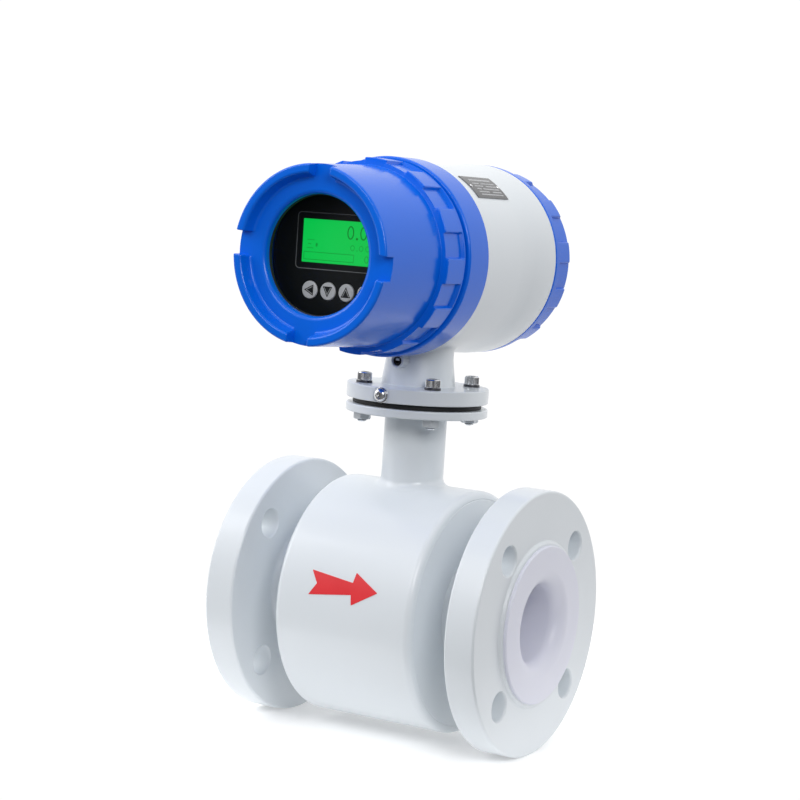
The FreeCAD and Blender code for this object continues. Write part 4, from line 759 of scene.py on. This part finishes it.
def mill_crown(cover):
    """Mill straight gaps through the crown down to the floor round the window."""
    for vertex, normal, along, out, angle in skin(cover):
        if along < crown_floor - CLOSE or out < crown_inside:
            continue
        centre = min(gap_centres, key=lambda gap: abs(math.remainder(angle - gap, math.tau)))
        off = math.remainder(angle - centre, math.tau)
        side = math.copysign(1, off)
        column = math.floor(abs(off) / COLUMN) - GAP_COLUMNS
        if column < 0:
            foot = math.asin((half_gap - 0.25) / out)
            shift = foot - (abs(off) - (column + 1) * COLUMN)
            share = max(0, (column + FLOOR_COLUMNS + 1) / FLOOR_COLUMNS)
            placed(vertex, crown_floor, out, centre + side * (abs(off) + shift * share))
        elif column < EASE_COLUMNS:
            inset, sink = rounding(column)
            wall = math.asin((half_gap + inset) / out)
            shift = wall - (abs(off) - max(column - ROUND_COLUMNS, 0) * COLUMN)
            share = (EASE_COLUMNS - column) / (EASE_COLUMNS - ROUND_COLUMNS)
            off = wall if column <= ROUND_COLUMNS else abs(off) + shift * share
            draw = math.hypot(normal.y, normal.z) * sink
            reach = out - math.copysign(draw, out - cover_bore)
            lift = max(along - normal.x * sink, crown_floor)
            placed(vertex, lift, reach if along > crown_floor + CLOSE else out,
                   centre + side * off)


cover_rear, cover_rim = ahead("front_cover")
ring_radius = ends("front_cover", "x")[1]
ring_front = cover_rear + 24
band_rear, band_front = ring_front + 2.1, ring_front + 22.8
lug_collar = band_rear + 2.6
crown_floor, glass_seat = cover_rim - 7.6, cover_rim - 14.6
window_radius, crown_inside, half_gap = 35.2, 42.6, 7
gap_centres = [math.radians(90 * number - 5) for number in range(4)]

front_clocking = math.radians(25.2)
front_cover = turned("front_cover_casting", [
    (cover_rear, cover_thread), (cover_rear, ring_radius, 1.4),
    (ring_front, ring_radius, 1.6), (ring_front, groove_radius, 0.4),
    (band_rear, groove_radius, 0.4), (band_rear, lug_root), (band_rear, lug_radius, 0.5),
    (band_rear + 1.4, lug_radius), (lug_collar, lug_radius), (band_front, lug_radius, 0.7),
    (band_front, lug_root), (band_front + 0.4, 54.3, 0.35), (crown_floor - 1.5, 52.78),
    (crown_floor, 52.74), (cover_rim, 52.5, 1.5), (cover_rim, 47.3, 1.3),
    (crown_floor, 45, 1.4), (crown_floor, window_radius, 3), (glass_seat, window_radius),
    (glass_seat, cover_bore), (front_spigot + 3, cover_bore), (front_spigot + 3, cover_thread),
], COLUMNS)
set_in_place(front_cover, turn=(front_clocking, 0, 0))
mill_lugs(front_cover, lug_collar - 0.1, band_front, front_clocking, math.radians(7.5))
mill_crown(front_cover)
dressed(on_the_head(front_cover), blue_paint, "blue_paint", "front_cover", body="front_cover")

back_end, back_front = ahead("back_cover")
back_ring = back_front - 5.6
back_band = back_ring - 1.05
back_edge = back_end + 2.3
back_clocking = math.radians(8)
back_cover = turned("back_cover_casting", [
    (back_end + 5, 0), (back_end + 5, cover_bore), (rear_spigot - 3, cover_bore),
    (rear_spigot - 3, cover_thread), (back_front, cover_thread), (back_front, barrel_rear, 0.9),
    (back_ring, barrel_rear, 0.9), (back_ring, groove_radius, 0.2),
    (back_band, groove_radius, 0.2), (back_band, lug_root), (back_band, lug_radius, 0.6),
    (back_edge + 2, lug_radius, 1.2), (back_edge, lug_root), (back_end, 54.7, 1.5), (back_end, 0),
], COLUMNS)
set_in_place(back_cover, turn=(back_clocking, 0, 0))
mill_lugs(back_cover, back_edge, back_band, back_clocking, math.radians(6.5))
dressed(on_the_head(back_cover), blue_paint, "blue_paint", "back_cover", body="back_cover")


# ---------------- window
# Toughened disc behind the crown, clear with a slight smoke, its edge ground to a small
# bevel. A thin black gasket lines the opening in front of it.
clear_glass = finish_for(
    "clear_glass", (0.012, 0.016, 0.016), 0.03, coat=1.0, Coat_Roughness=0.02, Alpha=0.08,
    gloss=(30, 0.02, 0.05))

glass_back, glass_front = ahead("window_glass")
glass_radius = ends("window_glass", "x")[1]
window = on_the_head(turned("window_disc", [
    (glass_back, 0), (glass_back, glass_radius, 0.4), (glass_front, glass_radius, 0.4),
    (glass_front, 0),
], 128))
dressed(window, clear_glass, "window_glass", "window_glass", body="front_cover")

glazing_back, glazing_face = glass_front + 0.02, glass_front + 2.0
glazing_inside, glazing_outside = window_radius - 0.35, window_radius - 0.02
glazing = on_the_head(turned("glazing_gasket", [
    (glazing_back, glazing_inside), (glazing_back, glazing_outside),
    (glazing_face, glazing_outside), (glazing_face, glazing_inside, 0.25),
]))
dressed(glazing, black_rubber, "black_rubber", body="front_cover")


# ---------------- display panel
# Gloss black plate with a window for the screen, framed by a thin grey printed line, and a
# hole for each of the four keys below it.
black_gloss = finish_for(
    "black_gloss", (0.003, 0.004, 0.005), 0.3,
    tint=(25, (0.002, 0.003, 0.004), (0.004, 0.005, 0.007)), gloss=(30, 0.28, 0.34))
grey_ink = finish_for(
    "grey_ink", (0.24, 0.25, 0.26), 0.5,
    tint=(3, (0.21, 0.22, 0.23), (0.28, 0.29, 0.3)))

panel_back, panel_face = ahead("display_panel")
panel_radius = ends("display_panel", "x")[1]
screen_low, screen_high = (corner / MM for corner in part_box("lcd_screen"))
KEYS = ("left_key", "down_key", "up_key", "enter_key")
key_spots = [(sum(ends(name, "x")) / 2, sum(ends(name, "z")) / 2) for name in KEYS]
key_radius = 5.3


def screen_outline(margin, corner):
    """The screen's outline with a margin round it, in the XZ plane."""
    left, right = screen_low.x - margin, screen_high.x + margin
    foot, top = screen_low.z - margin, screen_high.z + margin
    return [(left, foot, corner), (right, foot, corner), (right, top, corner), (left, top, corner)]


panel = on_the_head(turned("display_plate", [
    (panel_back, 0), (panel_back, panel_radius), (panel_face, panel_radius, 0.4),
    (panel_face, 0),
], 128))
cut_away(panel, extruded("screen_punch", screen_outline(0.1, 0.6),
                         -panel_face - 1, -panel_back + 1))
key_drill = hole_tool("key_drill", key_radius + 0.25, panel_face - panel_back, 0.15, 56)
cut_away(panel, spread(key_drill, [(x, -panel_back, z) for x, z in key_spots], AHEAD))
dressed(panel, black_gloss, "black_panel", "display_panel")

frame_line = extruded("screen_frame_line", screen_outline(4.0, 2.6),
                      -panel_face - 0.03, -panel_face + 0.02)
inside = extruded("screen_frame_inside", screen_outline(3.55, 2.2),
                  -panel_face - 1, -panel_face + 1)
dressed(cut_away(frame_line, inside), grey_ink, "key_grey")


# ---------------- screen
# Liquid crystal screen with a green back light. The figures, the small marks at the left and
# the bar's outline are dark green segments just under the polariser.
lit_green = finish_for(
    "lit_green", (0.0, 0.03, 0.005), 0.4, Emission_Strength=1.0,
    light=(26, (0.0, 0.60, 0.07), (0.0, 0.64, 0.085)))
dark_green = finish_for(
    "dark_green_segments", (0.0, 0.012, 0.003), 0.4, Emission_Strength=1.0,
    light=(5, (0.0, 0.19, 0.016), (0.0, 0.22, 0.02)))
faint_green = finish_for(
    "faint_green_segments", (0.0, 0.02, 0.004), 0.4, Emission_Strength=1.0,
    light=(5, (0.0, 0.33, 0.035), (0.0, 0.36, 0.04)))

screen_face = -screen_low.y
screen = extruded("backlit_screen", screen_outline(0, 0.5), -screen_face, screen_high.y)
dressed(screen, lit_green, "screen_green", "lcd_screen")

segment_back, segment_face = -screen_face + 0.02, -screen_face - 0.03
OVAL_STEPS = 24


def segment(name, corners):
    """One segment of the screen, from the corners of its outline."""
    return extruded(name, corners, segment_face, segment_back)


def oval(x, height, wide, tall):
    """Corners of an upright oval with full ends, at a height over the head's axis."""
    angles = [math.tau * step / OVAL_STEPS for step in range(OVAL_STEPS)]
    return [(x + wide / 2 * math.cos(angle), head_axis + height + tall / 2 * math.sin(angle))
            for angle in angles]


def nought(name, x, height, wide, tall, line):
    """A nought drawn as a closed stroke of one width."""
    outer = segment(name, oval(x, height, wide, tall))
    inner = extruded(f"{name}_inside", oval(x, height, wide - 2 * line, tall - 2 * line),
                     segment_face - 1, segment_back + 1)
    return cut_away(outer, inner)


def stroke(name, x, height, wide, tall):
    """A straight bar, wide and tall in mm, with its left end and middle height given."""
    low, high = head_axis + height - tall / 2, head_axis + height + tall / 2
    return segment(name, [(x, low), (x + wide, low), (x + wide, high), (x, high)])


def repeated(first, *shifts):
    """A figure and its copies, each shifted to the right by a distance in mm."""
    return [first] + [
        set_in_place(copied(first, f"{first.name}_{number}"), (shift * MM, 0, 0))
        for number, shift in enumerate(shifts)]


STROKES = [
    (-23.4, 8.2, 5.2, 0.35), (-23.4, 3.4, 4.6, 0.35), (-22.6, 5.8, 2.2, 0.4),
    (-25.4, 1.0, 35.2, 0.4), (-25.4, -3.4, 35.2, 0.4), (-25.4, -1.2, 0.4, 3.96),
    (9.4, -1.2, 0.4, 3.96),
]
figures = joined([
    *repeated(nought("screen_figures", 6.6, 13.8, 4.7, 8.0, 0.75), 8.9, 14.6),
    segment("figure_point", oval(11.1, 10.4, 1.5, 1.5)),
])
dressed(figures, dark_green, "screen_green")
marks = joined([
    *repeated(nought("screen_small_marks", 8.4, 5.0, 3.0, 3.4, 0.42), 6.0, 10.4),
    nought("small_corner", 18.5, -1.2, 3.0, 4.2, 0.5),
    segment("small_point", oval(11.6, 3.6, 0.8, 0.8)),
    segment("left_dot", oval(-16.6, 5.4, 1.4, 2.4)),
    *[stroke(f"stroke_{number}", *row) for number, row in enumerate(STROKES)],
])
dressed(marks, faint_green, "screen_green")


# ---------------- keys
# Four round grey keys of silicone, faintly crowned, each with its symbol printed in black: a
# triangle in its own outline for left, down and up, and a bent arrow for enter.
grey_key = finish_for(
    "grey_silicone", (0.72, 0.74, 0.76), 0.55,
    tint=(4, (0.70, 0.72, 0.74), (0.76, 0.78, 0.80)), bump=(0.5, 0.01, 0.5))
black_ink = finish_for(
    "black_ink", (0.008, 0.009, 0.01), 0.45,
    tint=(2, (0.006, 0.007, 0.008), (0.014, 0.015, 0.016)))

key_back, key_face = ahead("left_key")
skirt_radius = 5.95
first_key = turned("round_key", [
    (key_back, 0), (key_back, 1.75), (key_back + 0.1, 1.75), (key_back + 0.1, skirt_radius, 0.15),
    (key_back + 0.9, skirt_radius, 0.15), (key_back + 0.9, key_radius),
    (key_face - 0.12, key_radius, 0.7), (key_face, 0),
], 64)


def printed(name, corners):
    """A symbol with its middle at the origin, partly sunk into the key it is printed on."""
    return extruded(name, corners, -0.05, 0.1)


triangle = printed("key_triangle", [(0, 3.5, 0.3), (-3.25, -2.8, 0.3), (3.25, -2.8, 0.3)])
cut_away(triangle, extruded("triangle_gap", [(0, 2.3), (-2.35, -2.25), (2.35, -2.25)], -1, 1))
core = printed("triangle_core", [(0, 1.6, 0.2), (-2.0, -2.4, 0.2), (2.0, -2.4, 0.2)])
triangle = joined([triangle, core])
bent = printed("key_bent_arrow", [
    (2.6, 2.4), (2.6, -0.9), (-0.9, -0.9), (-0.9, -2.3), (-3.1, -0.4), (-0.9, 1.5),
    (-0.9, 0.1), (1.6, 0.1), (1.6, 2.4),
])
symbols = [(triangle, -90), (triangle, 180), (triangle, 0), (bent, 0)]
for name, (x, z), (pattern, degrees) in zip(KEYS, key_spots, symbols):
    key = set_in_place(copied(first_key, f"{name}_cap"), (x * MM, 0, z * MM), AHEAD)
    dressed(key, grey_key, "key_grey", name, body=name)
    symbol = set_in_place(copied(pattern, f"{name}_symbol"), turn=(0, math.radians(degrees), 0))
    set_in_place(symbol, Vector((x, -key_face, z)) * MM)
    dressed(symbol, black_ink, "black_panel", body=name)
for pattern in (first_key, triangle, bent):
    bpy.data.objects.remove(pattern)


# ---------------- cable glands
# Two plated brass glands side by side: a nipple with a hexagon screwed into the boss, a black
# rubber sleeve for the cable, and a domed nut with worn flats that squeezes it.
collar_top = gland_face + 6
nipple_top, gland_thread = 81, 9.85
nipple = turned("cable_gland_nipples", [
    (52, 7), (52, 9.1), (52.8, gland_thread),
    *threaded(53, gland_face - 0.5, gland_thread, 1.5, 0.8),
    (collar_top, gland_thread), (collar_top, 9), (nipple_top, 9, 0.3), (nipple_top, 7, 0.3),
], 96)
collar = hexagon_nut("gland_collar", 24, gland_face, collar_top, gland_thread + 0.05)
dressed(at_both_glands(joined([nipple, collar]), 17), plating, "plated_steel",
        "cable_gland_bodies")

sleeve = turned("cable_gland_sleeves", [
    (collar_top, 4), (collar_top, 6.9), (nipple_top, 6.9), (nipple_top + 1.5, 5.5, 0.4),
    (nipple_top + 1.5, 4, 0.5),
], 96)
dressed(at_both_glands(sleeve), black_rubber, "black_rubber", "cable_gland_seals")

nut_base, nut_top = collar_top + 0.4, collar_top + 16.4
domed_nut = turned("cable_gland_domed_nuts", [
    (nut_base, 9.15), (nut_base, 12, 0.5), (nut_base + 9.6, 12, 3.4),
    (nut_top, 7.4, 1.4), (nut_top, 5.5, 0.6), (nut_top - 3.6, 5.6), (nut_top - 5.2, 9.15),
], 144)
cut_away(domed_nut, hexagon_prism("gland_nut_flats", 22.8, nut_base - 1, nut_top + 1),
         "INTERSECT")
dressed(at_both_glands(domed_nut, 24), plating, "plated_steel", "cable_gland_nuts")


# ---------------- nameplate
# Thin etched aluminium plate, dark, bent round the barrel's shoulder and held by two small
# round rivets. Its lines of print are shown as plain pale bars.
dark_plate = finish_for(
    "etched_dark_plate", (0.12, 0.12, 0.125), 0.22, metallic=0.7,
    tint=(3, (0.09, 0.09, 0.095), (0.14, 0.14, 0.145), (1, 6, 1)), gloss=(6, 0.18, 0.28))
pale_print = finish_for(
    "pale_plate_print", (0.42, 0.43, 0.45), 0.4,
    tint=(2, (0.36, 0.37, 0.39), (0.48, 0.49, 0.5)))

plate_rear, plate_fore = ahead("nameplate")
plate_angle, plate_span = 42, 19
plate_inside, plate_outside = barrel_radius + 0.01, barrel_radius + 0.6


def bent_plate(name, rear, fore, inside, outside, start, span, soft):
    """A plate bent round the head's axis, from a start angle on, measured from the right."""
    plate = turned(name, [
        (rear, inside), (rear, outside, soft), (fore, outside, soft), (fore, inside),
    ], max(3, round(span * 1.5)), span)
    set_in_place(plate, turn=(math.radians(start + span - 90), 0, 0))
    return on_the_head(plate)


plate = bent_plate("nameplate_sheet", plate_rear, plate_fore, plate_inside, plate_outside,
                   plate_angle, plate_span, 0.12)
dressed(plate, dark_plate, "plate_grey", "nameplate")

# Each line of print: its angle over the plate's foot, how tall it is in degrees, and where it
# starts and ends along the plate.
LINES = [
    (14.6, 1.5, 4.5, 31.5), (11.6, 0.9, 3.5, 21.0), (11.6, 0.9, 23.5, 31.5),
    (9.2, 0.9, 3.5, 17.5), (9.2, 0.9, 21.0, 31.5), (6.8, 0.9, 3.5, 24.0),
    (6.8, 0.9, 26.0, 31.5), (4.4, 0.9, 3.5, 15.0), (4.4, 0.9, 19.0, 31.5),
    (2.2, 0.9, 3.5, 31.5),
]
bars = joined([
    bent_plate(f"plate_bar_{number}", plate_rear + start, plate_rear + end,
               plate_outside - 0.02, plate_outside + 0.03, plate_angle + foot, tall, 0)
    for number, (foot, tall, start, end) in enumerate(LINES)])
bars.name = "nameplate_print_bars"
dressed(bars, pale_print, "plate_grey")

rivet = turned("nameplate_round_rivets", [
    (0, 0), (0, 1.1), (0.18, 1.1, 0.1), (0.42, 0.75, 0.3), (0.5, 0),
], 32)
rivet_places = (plate_rear + 2.2, plate_fore - 2.2)
rivets = spread(rivet, [(place, plate_outside, 0) for place in rivet_places], (0, 0, math.pi / 2))
set_in_place(rivets, turn=(math.radians(plate_angle + plate_span / 2), 0, 0))
dressed(on_the_head(rivets), plating, "plated_steel", "nameplate_rivets")


# ---------------- inner parts
# What is inside keeps the shape it was drawn with and gets its real finish: bright machined
# steel, iron, wound copper, boards, brass posts and moulded plastic.
def refinished(names, material):
    """Give CAD nodes a finish of their own."""
    for name in names:
        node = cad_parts[name]
        node.data.materials.clear()
        node.data.materials.append(material)


refinished(["measuring_tube", "electrode_springs", "electrode_nuts"], finish_for(
    "brushed_stainless", (0.56, 0.56, 0.56), 0.3, metallic=1.0,
    tint=(2, (0.5, 0.5, 0.5), (0.62, 0.62, 0.61), (1, 12, 12)),
    gloss=(1, 0.22, 0.4, (1, 14, 14))))
refinished(["front_electrode", "back_electrode"], finish_for(
    "pin_alloy", (0.5, 0.49, 0.47), 0.25, metallic=1.0, gloss=(1.5, 0.18, 0.34)))
refinished(["magnet_yoke", "upper_pole_core", "lower_pole_core"], finish_for(
    "soft_iron_plate", (0.12, 0.12, 0.125), 0.55, metallic=0.9,
    tint=(6, (0.09, 0.09, 0.095), (0.16, 0.155, 0.15)), bump=(1, 0.03, 0.5)))
WINDINGS = (0.1, 0.1, 6)
refinished(["upper_coil", "lower_coil"], finish_for(
    "enamelled_copper", (0.5, 0.17, 0.06), 0.3, metallic=0.9,
    tint=(0.5, (0.36, 0.11, 0.035), (0.62, 0.24, 0.1), WINDINGS),
    bump=(0.5, 0.08, 0.7, WINDINGS)))
refinished(["electrode_insulators", "lead_plug"], finish_for(
    "white_insulator", (0.72, 0.71, 0.66), 0.5,
    tint=(5, (0.68, 0.67, 0.62), (0.76, 0.75, 0.7))))
refinished(["front_cover_seal", "back_cover_seal"], black_rubber)
refinished(["glass_retainer", "lcd_module", "key_switches", "display_frame", "power_module",
            "wire_feedthrough"], finish_for(
    "moulded_black_plastic", (0.02, 0.02, 0.022), 0.5,
    tint=(6, (0.014, 0.014, 0.016), (0.028, 0.028, 0.03)), bump=(0.8, 0.015, 0.5)))
refinished(["display_board", "main_board"], finish_for(
    "green_board", (0.02, 0.13, 0.05), 0.35, coat=0.3,
    tint=(2.5, (0.014, 0.1, 0.04), (0.03, 0.17, 0.07), (1, 1, 1), 6)))
refinished(["display_standoffs", "board_standoffs", "terminal_screws"], finish_for(
    "turned_brass", (0.7, 0.5, 0.2), 0.28, metallic=1.0,
    tint=(1.5, (0.62, 0.43, 0.16), (0.76, 0.56, 0.25)), gloss=(1, 0.2, 0.36)))
refinished(["terminal_block"], finish_for(
    "grey_terminal_plastic", (0.3, 0.31, 0.32), 0.5,
    tint=(4, (0.27, 0.28, 0.29), (0.34, 0.35, 0.36))))
refinished(["sensor_leads"], finish_for(
    "lead_sheath_plastic", (0.1, 0.1, 0.11), 0.5,
    tint=(3, (0.08, 0.08, 0.09), (0.13, 0.13, 0.14))))


# ---------------- studio
# White product table under a large overhead softbox. The room is bright behind the meter, to
# its left and above it; the end where the camera stands is dark, and it shows in the gloss.
table_white = finish_for(
    "table_white", (0.9, 0.9, 0.9), 0.9, Specular_IOR_Level=0.0, Emission_Color=(1, 1, 1, 1),
    Emission_Strength=0.22,
    tint=(900, (0.89, 0.89, 0.89), (0.91, 0.91, 0.91)))
table_level = cad_box[0][2]
bpy.ops.mesh.primitive_circle_add(vertices=128, radius=0.3, fill_type="NGON",
                                  location=(-0.08, 0.12, table_level))
table = bpy.context.object
table.name = "table_top"
table.data.materials.append(table_white)

room = bpy.data.worlds.new("studio_room")
bpy.context.scene.world = room
room.use_nodes = True
nodes, links = room.node_tree.nodes, room.node_tree.links
place = nodes.new("ShaderNodeTexCoord")
facing = nodes.new("ShaderNodeVectorMath")
facing.operation = "DOT_PRODUCT"
facing.inputs[1].default_value = (0.52, -0.745, -0.42)
WALLS = [(0.0, (1.0, 1.0, 1.0)), (0.48, (0.92, 0.92, 0.93)), (0.67, (0.07, 0.07, 0.075)),
         (1.0, (0.2, 0.2, 0.205))]
wall = nodes.new("ShaderNodeValToRGB")
for position, _ in WALLS[1:-1]:
    wall.color_ramp.elements.new(position)
for stop, (position, colour) in zip(wall.color_ramp.elements, WALLS):
    stop.color = (*colour, 1)
share = nodes.new("ShaderNodeMapRange")
share.inputs["From Min"].default_value = -1.0
share.inputs["From Max"].default_value = 1.0
links.new(place.outputs["Generated"], facing.inputs[0])
links.new(facing.outputs["Value"], share.inputs["Value"])
links.new(share.outputs["Result"], wall.inputs["Fac"])
links.new(wall.outputs["Color"], nodes["Background"].inputs["Color"])
nodes["Background"].inputs["Strength"].default_value = 1.05


def softbox(name, place, aim, size, power):
    """A rectangular lamp at a place in metres, facing a point."""
    bpy.ops.object.light_add(type="AREA", location=place)
    lamp = bpy.context.object
    lamp.name = name
    lamp.data.shape = "RECTANGLE"
    lamp.data.size, lamp.data.size_y = size
    lamp.data.energy = power
    lamp.rotation_euler = (Vector(aim) - Vector(place)).to_track_quat("-Z", "Y").to_euler()


softbox("overhead_box", (-0.1, 0.1, 1.5), (0, 0, 0.1), (1.4, 1.2), 2.5)
softbox("left_box", (-1.3, -0.7, 0.9), (0, 0, 0.12), (0.8, 1.0), 7)
softbox("front_box", (-0.2, -1.5, 1.0), (0, -0.1, 0.25), (0.8, 0.6), 6.5)
softbox("right_box", (1.0, -1.0, 0.8), (0, 0, 0.25), (0.6, 0.6), 9.5)
bpy.context.scene.view_settings.view_transform = "Standard"
